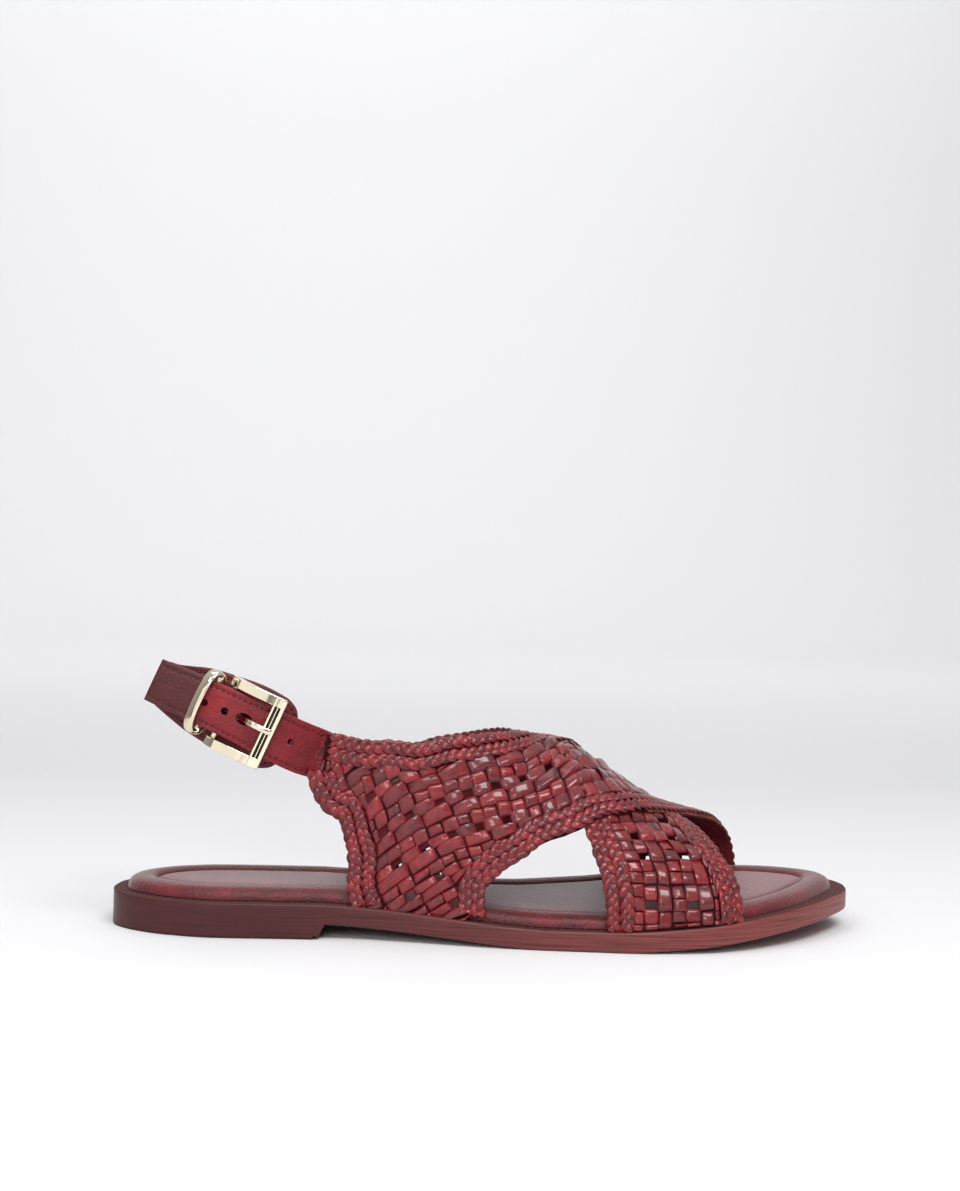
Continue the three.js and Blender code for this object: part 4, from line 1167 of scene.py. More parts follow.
    def backing(self) -> bpy.types.Object:
        """The smooth lining, its outside painted near black as shade under the strips, open at the gaps.

        Each cell is split in four; the outer and inner faces are the same grid at two offsets,
        joined where an edge has a face on one side only.

        Returns:
            The lining.
        """
        col, row = self.lattice()
        shut = ~self.gaps(col, row)
        cols, rows = halved(col), halved(row)
        grid = np.stack([self.point(cols, rows, 0.0), self.point(cols, rows, WALL - CORE_UNDER)])
        shown = np.repeat(np.repeat(shut, 2, 0), 2, 1).ravel()
        cells = quads(*cols.shape)[shown]
        size = cols.size
        once = np.concatenate([cells[:, [k, (k + 1) % 4]] for k in range(4)])
        key = np.sort(once, 1) @ np.array([size, 1])
        _, first, count = np.unique(key, return_index=True, return_counts=True)
        rim = once[first[count == 1]]
        walls = np.stack([rim[:, 0], rim[:, 1], rim[:, 1] + size, rim[:, 0] + size], -1)
        points, faces, kept = welded(grid.reshape(-1, 3), [cells[:, ::-1], cells + size, walls])
        lining = solid(self.name + "_lining", points, faces, 40)
        # Painted shade: "outside" marks the faces under the strips for the near-black colour.
        mark(lining, "outside", (kept >= size).astype(float))
        return finished(lining, LINING, "upper")

    def strips(self) -> bpy.types.Object:
        """Every strip that shows in the weave, as a domed pad on its cell.

        Of each three rows of cells, the first has upright strips, the second a strip between
        every two gaps, and the third a strip that floats over two cells. Cells beside a gap
        reach a little over it.

        Returns:
            All the pads as one piece.
        """
        gaps = self.gaps(*self.lattice())
        col, row = self.lattice(0.4)
        i, j = np.meshgrid(np.arange(gaps.shape[0]), np.arange(gaps.shape[1]), indexing="ij")
        whole_column = (i % 2) == 0
        phase = (j - 2) % ROWS_A_PITCH
        step_row = FIRST_ROW + (j - 1.5) / ROWS_A_PITCH
        kind = np.full(gaps.shape, Weave.FILL.value)
        kind[(phase == 0) & ~whole_column] = Weave.OVER_LEFT.value
        kind[(phase == 0) & whole_column] = Weave.OVER_RIGHT.value
        kind[(phase == 1) & ~whole_column] = Weave.BETWEEN_GAPS.value
        kind[phase == 2] = Weave.FLOAT.value
        bare_corner = ((step_row < -1.5) | ((i == 1) & (step_row > 0.9))) & (j > 1)
        inside = ((i > 1) & (j > 1) & (j < gaps.shape[1] - 2)) | bare_corner
        corner = np.stack([col, row], -1)
        cells = np.stack([corner[:-1, :-1], corner[:-1, 1:], corner[1:, 1:], corner[1:, :-1]], 2)
        cells = reaching(cells, gaps)
        pairs = cells.copy()
        pairs[:-1, :, 2:] = cells[1:, :, 2:]
        is_pair = (kind == Weave.FLOAT.value) & ~whole_column & inside
        is_pair[-1] = False
        second = np.zeros_like(is_pair)
        second[1:] = is_pair[:-1]
        cells = np.where(is_pair[..., None, None], pairs, cells)
        wide = np.abs(cells[..., 3, 0] - cells[..., 0, 0])
        tall = np.maximum(np.abs(cells[..., 1, 1] - cells[..., 0, 1]),
                          np.abs(cells[..., 2, 1] - cells[..., 3, 1]))
        keep = inside & ~gaps & ~second & (wide > 0.05) & (tall > 0.05)
        return self.pads(cells[keep], kind[keep])

    def pads(self, cells: np.ndarray, kind: np.ndarray) -> bpy.types.Object:
        """Domed pads on cells, each a little out of place, size and level.

        A pad's height is its rise times the mean of two arches along the strip, a flat one
        (1 - |2x - 1|^4)^0.4 and one of powers 2.2 and 0.55 with its crown moved by a power of x,
        times a flat-topped arch across it, (1 - |2y - 1|^8)^0.33, with a tilt and a sag across.

        Args:
            cells: N by 4 corners by column and row.
            kind: N values of Weave.

        Returns:
            The pads.
        """
        rng = np.random.default_rng(self.seed)
        count = len(cells)
        nodes = np.array([0.0, 0.07, 0.22, 0.42, 0.62, 0.8, 0.94, 1.0])
        u, v = np.meshgrid(nodes, nodes, indexing="ij")
        middle = cells.mean(1, keepdims=True)
        cells = middle + (cells - middle) * rng.uniform(0.99, 1.08, (count, 1, 1))
        cells = cells + rng.normal(0, 1, cells.shape) * np.array([0.022, 0.017])
        c00, c01, c11, c10 = (cells[:, k, None, None, :] for k in range(4))
        un, vn = u[None, ..., None], v[None, ..., None]
        at = (1 - un) * (1 - vn) * c00 + (1 - un) * vn * c01 + un * vn * c11 + un * (1 - vn) * c10
        rise = PAD_RISE[kind] + rng.normal(0, 0.13, count)
        crown = PAD_CROWN[kind] + rng.normal(0, 0.12, count)
        upright = (kind == Weave.OVER_LEFT.value) | (kind == Weave.OVER_RIGHT.value)
        x = np.where(upright[:, None, None], v[None], u[None])
        y = np.where(upright[:, None, None], u[None], v[None])
        bent = x ** crown[:, None, None]
        arch = 0.5 * np.maximum(1 - np.abs(2 * bent - 1) ** 2.2, 0) ** 0.55 + 0.5 * np.maximum(
            1 - np.abs(2 * x - 1) ** 4, 0) ** 0.4
        flat = np.maximum(1 - np.abs(2 * y - 1) ** 8, 0) ** 0.33
        tilt = rng.normal(0, 0.2, (count, 1, 1)) * (y - 0.5) * 2
        sag = 0.1 * np.sin(np.pi * y) * rng.uniform(0, 1, (count, 1, 1))
        height = (rise[:, None, None] * arch * (1 + tilt) - sag * arch) * flat
        points = self.point(at[..., 0], at[..., 1], PAD_BASE + height)
        n = len(nodes)
        cell = quads(n, n)
        edge = np.r_[np.arange(n), np.arange(2 * n - 1, n * n, n), np.arange(n * n - 2, n * n - n - 1, -1),
                     np.arange(n * n - 2 * n, 0, -n)]
        shift = (np.arange(count) * n * n)[:, None, None]
        faces = [(cell[None] + shift).reshape(-1, 4), (edge[None, None, ::-1] + shift).reshape(count, -1)]
        made = solid(self.name + "_strips", points.reshape(-1, 3), faces, 75)
        size = np.linalg.norm(points[:, -1, n // 2] - points[:, 0, n // 2], axis=-1)[:, None, None]
        deep = np.linalg.norm(points[:, n // 2, -1] - points[:, n // 2, 0], axis=-1)[:, None, None]
        along, across = x * np.where(upright[:, None, None], deep, size), y * STRIP_WIDTH
        shade = rng.uniform(0, 1, (count, 1, 1)) + 0 * u[None]
        shuffle = rng.uniform(0, 90, (count, 1, 1))
        mark(made, "strip", np.stack([along + shuffle, across + shuffle, shade], -1).reshape(-1, 3))
        # Painted shade: "edge" rises towards the pad's sides, where it dips into the grooves.
        rim = np.maximum(np.abs(2 * x - 1) ** 5, np.abs(2 * y - 1) ** 12)
        mark(made, "edge", np.clip(rim, 0, 1).ravel())
        return finished(made, STRIPS, "upper")

    def border_line(self, border: Border) -> tuple[np.ndarray, np.ndarray]:
        """Columns and rows along the middle of a border.

        Args:
            border: which one.

        Returns:
            Two arrays of one length.
        """
        if border is Border.REAR:
            row = np.linspace(-2.2, 2.5, 240)
            col = through(REAR, row, "col") + through(REAR, row, "braid") / 2
            foot = self.limits(col)["front"]
            return col[row < foot - 0.02], row[row < foot - 0.02]
        first = -1.0 if border is Border.COLLAR else 1.25
        col = np.linspace(first, LAST_COLUMN, 700)
        edge = self.limits(col)
        if border is Border.COLLAR:
            return col, (edge["collar"] + edge["top"]) / 2
        return col, (edge["bottom"] + edge["front"]) / 2

    def plait(self, plan: Plait) -> bpy.types.Object:
        """A three-cord plait along a border, its middle line moved across by a shift.

        Cord k stands at A sin(f) across the border and B sin(2 f) above it, with f the distance
        along over the period plus k thirds of a turn; its section is a flat ellipse.

        Args:
            plan: the plait's border and sizes.

        Returns:
            The plait.
        """
        col, row = self.border_line(plan.border)
        low, high = self.point(col, row, WALL - 0.25), self.point(col, row, WALL + 0.75)
        step = (0.04, 0.0) if plan.border is Border.REAR else (0.0, 0.04)
        beside = self.point(col + step[0], row + step[1], WALL - 0.25) - self.point(
            col - step[0], row - step[1], WALL - 0.25)
        square = unit(np.cross(np.gradient(low, axis=0), beside))
        square *= np.sign(np.sum(square * (high - low), -1))[:, None]
        along = run_along(low)
        fine = np.linspace(0, along[-1], int(along[-1] / plan.period * CORD_STEPS))
        base, rise = read_at(fine, along, low), unit(read_at(fine, along, square))
        side = unit(np.cross(rise, unit(np.gradient(base, axis=0))))
        base = base + side * plan.shift
        cord = plan.width * CORD_SHARE
        swing = plan.width / 2 - cord
        turn = full_turn(10)
        parts, strips, edges = [], [], []
        rng = np.random.default_rng(self.seed + 5)
        for k in range(3):
            phase = 2 * np.pi * (fine / plan.period + k / 3)
            waver = 0.25 * np.sin(fine * 0.61 + 2 * k) + 0.12 * np.sin(fine * 1.73 + k)
            line = base + side * (swing * np.sin(phase) + waver)[:, None] + rise * (
                0.3 + CORD_HOP * np.sin(2 * phase) + 0.5 * waver)[:, None]
            tangent = unit(np.gradient(line, axis=0))
            across = unit(np.cross(rise, tangent))
            up = unit(np.cross(tangent, across))
            swell = 1 + 0.14 * np.sin(phase * 1.618 + rng.uniform(0, 6))
            wide = (cord * swell)[:, None, None] * across[:, None, :]
            thick = CORD_THICK * up[:, None, :]
            flat = boxed(np.cos(turn), 0.75)
            rings = line[:, None, :] + wide * flat[None, :, None] + thick * np.sin(turn)[None, :, None]
            parts.append(lofted(rings))
            strips.append(np.stack(np.broadcast_arrays(
                fine[:, None] + 40 * k, cord * np.cos(turn)[None, :],
                0.5 + 0.5 * np.sin(phase[:, None] * 1.37 + k)), -1).reshape(-1, 3))
            # Painted shade: "edge" darkens each cord's sides, where it passes under its neighbours.
            edges.append(np.broadcast_to(np.abs(np.cos(turn))[None, :] ** 3, rings.shape[:2]).ravel())
        made = solid(f"{self.name}_{plan.name}_plait", *joined(parts), 80)
        mark(made, "strip", np.concatenate(strips))
        mark(made, "edge", np.concatenate(edges))
        return finished(made, PLAITS, "upper")

    def cut_edge(self) -> bpy.types.Object:
        """The raw edge of the front border over the far foot, scalloped where each cord turns.

        It reaches out by a rectified sine to the power 0.7, 0.8 mm high and 3.9 mm from top to top.

        Returns:
            The edge.
        """
        col = np.linspace(8.6, 16.9, 420)
        row = self.limits(col)["front"]
        line = self.point(col, row, 0.7)
        along = run_along(line)
        out = unit(self.point(col, row + 0.05, 0.7) - self.point(col, row - 0.05, 0.7))
        rise = unit(self.point(col, row, 1.7) - line)
        reach = 0.25 + 0.8 * np.abs(np.sin(np.pi * along / 3.9)) ** 0.7
        rows = [(-0.9, -0.45), (0.0, -0.5), (0.85, -0.35), (1.0, 0.1), (0.85, 0.5), (0.0, 0.7), (-0.9, 0.6)]
        rings = np.stack([line + out * (reach * o if o > 0 else np.full_like(reach, o))[:, None]
                          + rise * (u + 0.1) for o, u in rows], 1)
        return finished(solid(self.name + "_cut_edge", *lofted(rings), 70), RAW_EDGE, "upper")

    def build(self) -> list[bpy.types.Object]:
        """The band's pieces, the lining first."""
        edge = [] if self.mirrored else [self.cut_edge()]
        return [self.backing(), self.strips(), *map(self.plait, PLAIT_ROWS), *edge]


def reaching(cells: np.ndarray, gaps: np.ndarray, share: float = 0.2) -> np.ndarray:
    """Cells beside a gap, their edges moved over it by a share of their own size.

    Args:
        cells: I by J by 4 corners by column and row.
        gaps: which cells are open.
        share: how far the edge moves.

    Returns:
        The moved cells.
    """
    wide, tall = cells[:, :, 2:] - cells[:, :, [1, 0]], cells[:, :, 1:3] - cells[:, :, [0, 3]]
    open_ = np.pad(gaps, 1)
    before, after = open_[:-2, 1:-1, None, None], open_[2:, 1:-1, None, None]
    below, above = open_[1:-1, :-2, None, None], open_[1:-1, 2:, None, None]
    made = cells.copy()
    made[:, :, 2:] += share * wide * after
    made[:, :, [1, 0]] -= share * wide * before
    made[:, :, 1:3] += 0.8 * share * tall * above
    made[:, :, [0, 3]] -= 0.8 * share * tall * below
    return made


def halved(grid: np.ndarray) -> np.ndarray:
    """A grid of numbers with the middle of every step put in, both ways.

    Args:
        grid: I by J.

    Returns:
        2 I - 1 by 2 J - 1.
    """
    for _ in range(2):
        pairs = np.stack([grid[:-1], grid[:-1] * 0.5 + grid[1:] * 0.5], 1)
        grid = np.concatenate([pairs.reshape(-1, grid.shape[1]), grid[-1:]]).T
    return grid


def welded(points: np.ndarray, faces: list[np.ndarray]) -> tuple[np.ndarray, list[np.ndarray], np.ndarray]:
    """Makes points that coincide one, and drops faces that lose their area.

    Args:
        points: N by 3.
        faces: arrays of four corner numbers.

    Returns:
        The points kept, their four- and three-cornered faces, and the number that each point had.
    """
    _, first, same = np.unique(np.round(points, 3), axis=0, return_index=True, return_inverse=True)
    same = same.ravel()
    cells = np.concatenate([same[f] for f in faces])
    distinct = (np.sort(cells, 1)[:, 1:] != np.sort(cells, 1)[:, :-1]).sum(1) + 1
    squares = cells[distinct == 4]
    thin = cells[distinct == 3]
    keep = np.array([thin[:, k] != thin[:, (k + 1) % 4] for k in range(4)]).T
    corners = np.argsort(~keep, axis=1, kind="stable")[:, :3]
    threes = np.take_along_axis(thin, np.sort(corners, 1), 1)
    return points[first], [squares, threes], first


def over_band_covers(s: np.ndarray, t: np.ndarray) -> np.ndarray:
    """Where the upper band hides the lower one: between its own two edges.

    Args:
        s: stations along the sole.
        t: shares of the arc.

    Returns:
        True where hidden.
    """
    col = np.arange(-1, LAST_COLUMN + 0.1, COLUMN_STEP)
    edges = WovenBand.limits(col)
    bounds = []
    for name in ("collar", "front"):
        at_s, at_t = OVER.on_last(col, edges[name])
        order = np.argsort(at_t)
        bounds.append(np.interp(t, at_t[order], at_s[order]))
    return (s > bounds[0] - 1) & (s < bounds[1] + 1)


OVER = WovenBand("over_band", mirrored=False, wing_drop=0.0, lift=WALL - 0.3, reach=15.0, seed=11)
UNDER = WovenBand("under_band", mirrored=True, wing_drop=0.07, lift=0.0, reach=0.0, seed=23)


# ---------------------------------------------------------------- straps
def from_strap(a: np.ndarray, b: np.ndarray, c: np.ndarray) -> np.ndarray:
    """Points from the strap's own frame: a back and up from the wing, b across, c up its width."""
    cos, sin = np.cos(STRAP_TILT), np.sin(STRAP_TILT)
    return place(STRAP_ROOT[0] - a * cos + c * sin, b, STRAP_ROOT[1] + a * sin + c * cos)


FRONT_ROWS = named(
    "a b low high lean", (-6, -22.8, -7.6, 7.4, 0.1), (1, -23.1, -8, 8, 0.1), (6, -25.2, -8.4, 8, 0.07),
    (12, -27.8, -8.2, 8.1, 0.02), (19, -29.7, -7.8, 8.2, 0), (27, -30.4, -7.1, 8.3, 0),
    (34, -30.6, -6.8, 8.4, 0), (43, -30.4, -6.6, 8.4, 0), (51, -29.4, -6.6, 8, 0),
    (58.6, -28, -6.6, 7.5, 0))
SLING_ROWS = named(
    "a b low high lean", (11, -23, -4, 4, 0), (11.8, -23, -8, 7.6, 0), (14, -23, -10.8, 10.6, 0),
    (18, -23, -12.3, 12.3, 0), (26, -23, -12.6, 12.8, 0), (35, -22.9, -12, 12, 0),
    (43, -22.2, -10.9, 10.9, 0), (49, -20, -9.6, 8.8, 0), (53.5, -15.8, -8.8, 7, 0),
    (56, -10, -8.6, 6, 0), (57, -2, -8.8, 5.4, 0), (55.6, 7, -9.4, 4.8, 0), (51, 14.6, -10.2, 4.4, 0),
    (44, 18.8, -10.8, 3.6, 0), (34, 20.4, -11.2, 3.2, -0.02), (20, 20.6, -11.4, 3.2, -0.05),
    (6, 20.95, -11.2, 3.2, -0.08), (-3, 21, -10.8, 3, -0.08), (-9, 20.9, -10.6, 2.8, -0.07))
PIVOT = (34.0, -26.8)
STRAP_HOLES = named(
    "back c wide tall", (-23.2, 0.3, 1.2, 1.2), (-14.8, 0.8, 1.2, 1.2), (-6.6, 1.1, 2.75, 1.9),
    (0.0, 0.9, 1.2, 1.2), (7.0, 0.7, 1.2, 1.2))
NO_PAINTED_SHADE = (900.0, 901.0)  # beyond the end of every strap


@dataclass
class Strap:
    """A leather strap along its rows, with a sewn channel near both edges."""

    name: str
    rows: np.ndarray
    finish: Finish
    slot: str
    node: str
    thick: float = STRAP_THICK
    sew_inset: float = 1.7
    sewn: tuple[float, float] = (0.0, 1.0)
    painted_shade_span: tuple[float, float] = NO_PAINTED_SHADE

    def line(self, step: float = 1.0) -> dict[str, np.ndarray]:
        """Even stations along the middle line, smooth through the rows.

        Args:
            step: about how far apart.

        Returns:
            The stations' distance along, and each of the rows' columns there.
        """
        keyed = np.concatenate([[0], np.cumsum(np.hypot(np.diff(self.rows["a"]), np.diff(self.rows["b"])))])
        table = np.array([(k, *row) for k, row in zip(keyed, self.rows.tolist())],
                         dtype=[("along", float), *self.rows.dtype.descr])
        along = np.linspace(0, keyed[-1], int(keyed[-1] / step) + 1)
        return {"along": along, **{name: through(table, along, name) for name in self.rows.dtype.names}}

    def surface(self, at: dict[str, np.ndarray], c: np.ndarray, rise: np.ndarray) -> np.ndarray:
        """Points at c up the width, raised off the middle line across its direction.

        Args:
            at: stations, as line gives them.
            c: up the width, one row for each station or one for all.
            rise: off the middle line, of the same shape.

        Returns:
            Points of the part's frame.
        """
        ahead = unit(np.stack([np.gradient(at["a"]), np.gradient(at["b"])], -1))
        a = at["a"][:, None] - ahead[:, 1:] * rise
        b = at["b"][:, None] + ahead[:, :1] * rise + at["lean"][:, None] * c
        return from_strap(a, b, c)

    def build(self) -> list[bpy.types.Object]:
        """The strap and its stitches.

        Across the width the section is a box with round edges: c is half the width times the
        cosine's size to the power 0.3, and the rise half the thickness times the sine's to 0.42,
        pressed in by a narrow bell at each sewn line and a little full between them.

        Returns:
            The strap and a row of stitches at each edge.
        """
        at = self.line()
        turn = off_axis_turn(44)
        share_c, share_r = boxed(np.cos(turn), 0.3), boxed(np.sin(turn), 0.42)
        half = ((at["high"] - at["low"]) / 2)[:, None]
        middle = ((at["high"] + at["low"]) / 2)[:, None]
        from_edge = half * (1 - np.abs(share_c))
        pressed = 0.3 * np.exp(-(((from_edge - self.sew_inset) / 0.5) ** 2))
        full = 0.12 * (1 - share_c ** 2)
        ends = np.minimum(at["along"], at["along"][-1] - at["along"])[:, None]
        soft = np.clip(ends / 0.8, 0.35, 1) ** 0.5
        rise = share_r * (self.thick / 2 + full - pressed - 0.12) * soft
        rings = self.surface(at, middle + half * share_c, rise)
        strap = solid(self.name, *lofted(rings), 60)
        # Painted shade: the tip past the keeper is blended towards the darker second colour.
        mark(strap, "other", np.repeat(0.8 * eased(*self.painted_shade_span, at["a"]), len(turn)))
        self.pierce(strap)
        pieces = [finished(strap, self.finish, self.slot, self.node)]
        for side, sign in (("upper", 1), ("lower", -1)):
            edge = middle + sign * (half - self.sew_inset)
            face, back = self.skin(at, edge, 0.2), self.skin(at, edge, 1.2)
            keep = slice(int(len(edge) * self.sewn[0]) + 2, int(len(edge) * self.sewn[1]) - 2)
            row = Stitches().build(f"{self.name}_{side}_stitches", face[keep, 0], unit(face - back)[keep, 0])
            pieces.append(finished(row, THREAD, self.slot))
        return pieces

    def skin(self, at: dict[str, np.ndarray], c: np.ndarray, under: float) -> np.ndarray:
        """Points at c up the width, this far under the face that looks away from the foot."""
        return self.surface(at, c, self.outer_sign() * np.full((len(at["a"]), 1), self.thick / 2 - under))

    def across_stitches(self, a: float) -> bpy.types.Object:
        """A row of stitches across the strap.

        Args:
            a: how far from the strap's root.

        Returns:
            The stitches.
        """
        at = self.line()
        k = int(np.argmin(np.abs(at["a"] - a)))
        c = np.linspace(at["low"][k] + self.sew_inset, at["high"][k] - self.sew_inset, 40)
        here = {name: values[k - 1:k + 2] for name, values in at.items()}
        face, back = (self.skin(here, c[None, :], under)[1] for under in (0.0, 1.0))
        row = Stitches().build(self.name + "_end_stitches", face, unit(face - back))
        return finished(row, THREAD, self.slot)

    def outer_sign(self) -> float:
        """1 where a positive rise near the root leads away from the foot, else -1.

        Returns:
            The sign.
        """
        at = self.line()
        flat = np.zeros((len(at["a"]), 1))
        near = 5
        moved, still = self.surface(at, flat, flat + 1)[near, 0, 1], self.surface(at, flat, flat)[near, 0, 1]
        return 1.0 if moved < still else -1.0

    def pierce(self, strap: bpy.types.Object) -> None:
        """Nothing to cut in a plain strap."""


@dataclass
class PiercedStrap(Strap):
    """A strap with punched holes for the prong."""

    def pierce(self, strap: bpy.types.Object) -> None:
        """Cuts a smooth round punch through the strap at each hole.

        Args:
            strap: the strap's piece.
        """
        turn = full_turn(32)
        punches = []
        for back, c, wide, tall in STRAP_HOLES:
            a = PIVOT[0] + back
            b = float(through(FRONT_ROWS, a, "b"))
            along, up = a + wide * np.cos(turn), c + tall * np.sin(turn)
            punches.append(lofted(np.stack([from_strap(along, np.full_like(turn, b + depth), up)
                                            for depth in (-5.0, 5.0)])))
        punch = solid("punch", *joined(punches))
        cut = strap.modifiers.new("punch", "BOOLEAN")
        cut.operation, cut.solver, cut.object = "DIFFERENCE", "EXACT", punch
        kept = bpy.data.meshes.new_from_object(strap.evaluated_get(bpy.context.evaluated_depsgraph_get()))
        strap.modifiers.clear()
        strap.data = kept
        strap.data.set_sharp_from_angle(angle=np.radians(50))
        bpy.data.objects.remove(punch)


# ---------------------------------------------------------------- buckle
SIDE_BAR = np.array([
    (-16.7, -4.7), (-16.7, -6.2), (-16.3, -6.7), (-13, -6.7), (-6, -6), (-0.5, -4.4), (2, -1.8), (2, 0.4),
    (1, 1.6), (-1, 1.6), (-2.5, -0.8), (-8, -3.5), (-12.8, -4.5)])
# recess: 1 where the grooves' bottoms are painted dark as shade
FRONT_BAR = named(
    "a b recess", (-17, -4.9, 0), (-17, -6.85, 0), (-16.8, -7.05, 0), (-15.75, -7.05, 0),
    (-15.7, -6.55, 1), (-14.95, -6.55, 1), (-14.9, -7.05, 0), (-14.65, -7.05, 0), (-14.6, -6.55, 1),
    (-13.75, -6.55, 1), (-13.7, -7.05, 0), (-13.15, -7.05, 0), (-13, -6.85, 0), (-13, -4.9, 0))
SHANK = named(
    "along up thick", (-16.2, -8.2, 0.7), (-15.4, -8.3, 1.3), (-13, -8.15, 1.5), (-10.4, -7.6, 1.6),
    (-8, -6, 1.4), (-6.6, -4, 1.2), (-5.1, -2.3, 1.1), (-3.6, -1.8, 1), (-0.4, -1.7, 0.8))


@dataclass
class Buckle:
    """Frame, prong, keeper and the leather fold that holds them."""

    half: float = 11.9
    side_width: float = 3.1
    centre: float = 0.3
    prong_c: float = 1.0
    keeper_back: float = 6.8
    keeper_half: float = 10.2
    keeper_reach: float = 4.2
    keeper_slant: float = 53.0
    keeper_width: float = 3.8
    keeper_thick: float = 1.3
    keeper_power: float = 2.6
    eye_radius: float = 1.75
    eye_tube: float = 0.42
    fold_thick: float = 1.1
    fold_radius: float = 1.85
    folds: tuple[tuple[float, float], ...] = ((-6.5, -1.75), (2.45, 7.1))

    @staticmethod
    def bar(profile: np.ndarray, levels: list[tuple[float, float]]) -> Solid:
        """A profile carried up the strap's width, drawn in towards its own middle at some levels.

        Args:
            profile: K by 2, from the pivot.
            levels: height c and how far in, millimetres.

        Returns:
            The bar.
        """
        along = unit(np.roll(profile, -1, 0) - np.roll(profile, 1, 0))
        area = np.sum(profile[:, 0] * np.roll(profile[:, 1], -1) - np.roll(profile[:, 0], -1) * profile[:, 1])
        inward = np.stack([-along[:, 1], along[:, 0]], -1) * np.sign(area)
        rings = np.stack([from_strap(*(profile + inward * into + PIVOT).T, c + 0 * profile[:, 0])
                          for c, into in levels])
        return lofted(rings)

    def frame(self) -> bpy.types.Object:
        """The cast frame's two side bars and pivot, their edges rounded.

        Returns:
            The frame.
        """
        parts = []
        for sign in (1, -1):
            levels = [(self.centre + sign * (self.half - self.side_width), 0.0),
                      (self.centre + sign * self.half, 0.0)]
            parts.append(self.bar(SIDE_BAR, levels))
        turn = full_turn(24)
        rod = np.stack([np.cos(turn), np.sin(turn)], -1)
        parts.append(self.bar(rod, [(self.centre + sign * (self.half - 1.5), 0.0) for sign in (-1, 1)]))
        frame_ = solid("buckle_frame_cast", *joined(parts), 30)
        round_ = frame_.modifiers.new("round", "BEVEL")
        round_.width, round_.segments, round_.limit_method = 0.16 * METRES, 2, "ANGLE"
        round_.angle_limit = np.radians(50)
        return finished(frame_, GOLD, "buckle", "buckle_frame")

    def front_bar(self) -> bpy.types.Object:
        """The front bar: its profile carried straight up, with two grooves along it, painted dark as shade.

        Returns:
            The bar.
        """
        profile = np.stack([FRONT_BAR["a"], FRONT_BAR["b"]], -1)
        reach = self.half - 0.35
        levels = [(self.centre - reach, 0.0), (self.centre + reach, 0.0)]
        made = solid("buckle_front_bar", *self.bar(profile, levels), 30)
        # Painted shade in the two grooves.
        mark(made, "recess", np.tile(FRONT_BAR["recess"], 2))
        return finished(made, GOLD, "buckle")

    def prong(self) -> bpy.types.Object:
        """The prong: a round eye on the pivot and a tapering shank up through the strap.

        Returns:
            The prong.
        """
        along = np.linspace(-16.2, -0.4, 60)
        up, thick = through(SHANK, along, "up"), through(SHANK, along, "thick")
        ahead = unit(np.stack([np.gradient(along), np.gradient(up)], -1))
        turn = full_turn(20)
        wide = boxed(np.cos(turn), 0.7)
        lift = boxed(np.sin(turn), 0.7)[None, :] * thick[:, None] * 0.5
        rings = from_strap(PIVOT[0] + along[:, None] - ahead[:, 1:] * lift,
                           PIVOT[1] + up[:, None] + ahead[:, :1] * lift,
                           self.prong_c + wide[None, :] + 0 * lift)
        about, tube = full_turn(36)[:, None], full_turn(14)
        radius = self.eye_radius + self.eye_tube * np.cos(tube)[None, :]
        eye = from_strap(PIVOT[0] + radius * np.cos(about), PIVOT[1] + radius * np.sin(about),
                         self.prong_c + boxed(np.sin(tube), 0.6) + 0 * radius)
        made = solid("buckle_prong_cast", *joined([lofted(rings), lofted(eye, True)]), 60)
        # Painted shade: near black on the shank's root and on the eye, under the strap and seen through its
        # hole.
        mark(made, "recess", np.concatenate([np.repeat(eased(-4.2, -2.6, along), len(turn)),
                                             np.ones(eye[..., 0].size)]))
        return finished(made, GOLD, "buckle", "buckle_prong")

    def keeper(self) -> bpy.types.Object:
        """The keeper: an oval band, |u/reach|^2.6 + |c/half|^2.6 = 1, slanted across the strap.

        Returns:
            The keeper.
        """
        slant = np.radians(self.keeper_slant)
        ahead, normal = (np.cos(slant), -np.sin(slant)), (np.sin(slant), np.cos(slant))
        a0 = PIVOT[0] + self.keeper_back
        b0 = float(through(FRONT_ROWS, a0, "b")) + 0.1
        turn, power = off_axis_turn(96), self.keeper_power
        u = boxed(np.cos(turn), 2 / power) * self.keeper_reach
        c = boxed(np.sin(turn), 2 / power) * self.keeper_half
        out = unit(np.stack([boxed(u / self.keeper_reach, power - 1) / self.keeper_reach,
                             boxed(c / self.keeper_half, power - 1) / self.keeper_half], -1))
        about = off_axis_turn(20)
        wide = boxed(np.cos(about), 0.55) * self.keeper_width / 2
        rise = boxed(np.sin(about), 0.8) * self.keeper_thick / 2
        rise = rise * (1 - 0.25 * (np.abs(wide) / (self.keeper_width / 2)) ** 2)
        across = u[:, None] + out[:, :1] * rise
        up = 0.9 + c[:, None] + out[:, 1:] * rise
        rings = from_strap(a0 + ahead[0] * across + normal[0] * wide,
                           b0 + ahead[1] * across + normal[1] * wide, up)
        return finished(solid("keeper_band", *lofted(rings, True), 60), GOLD, "buckle", "keeper")

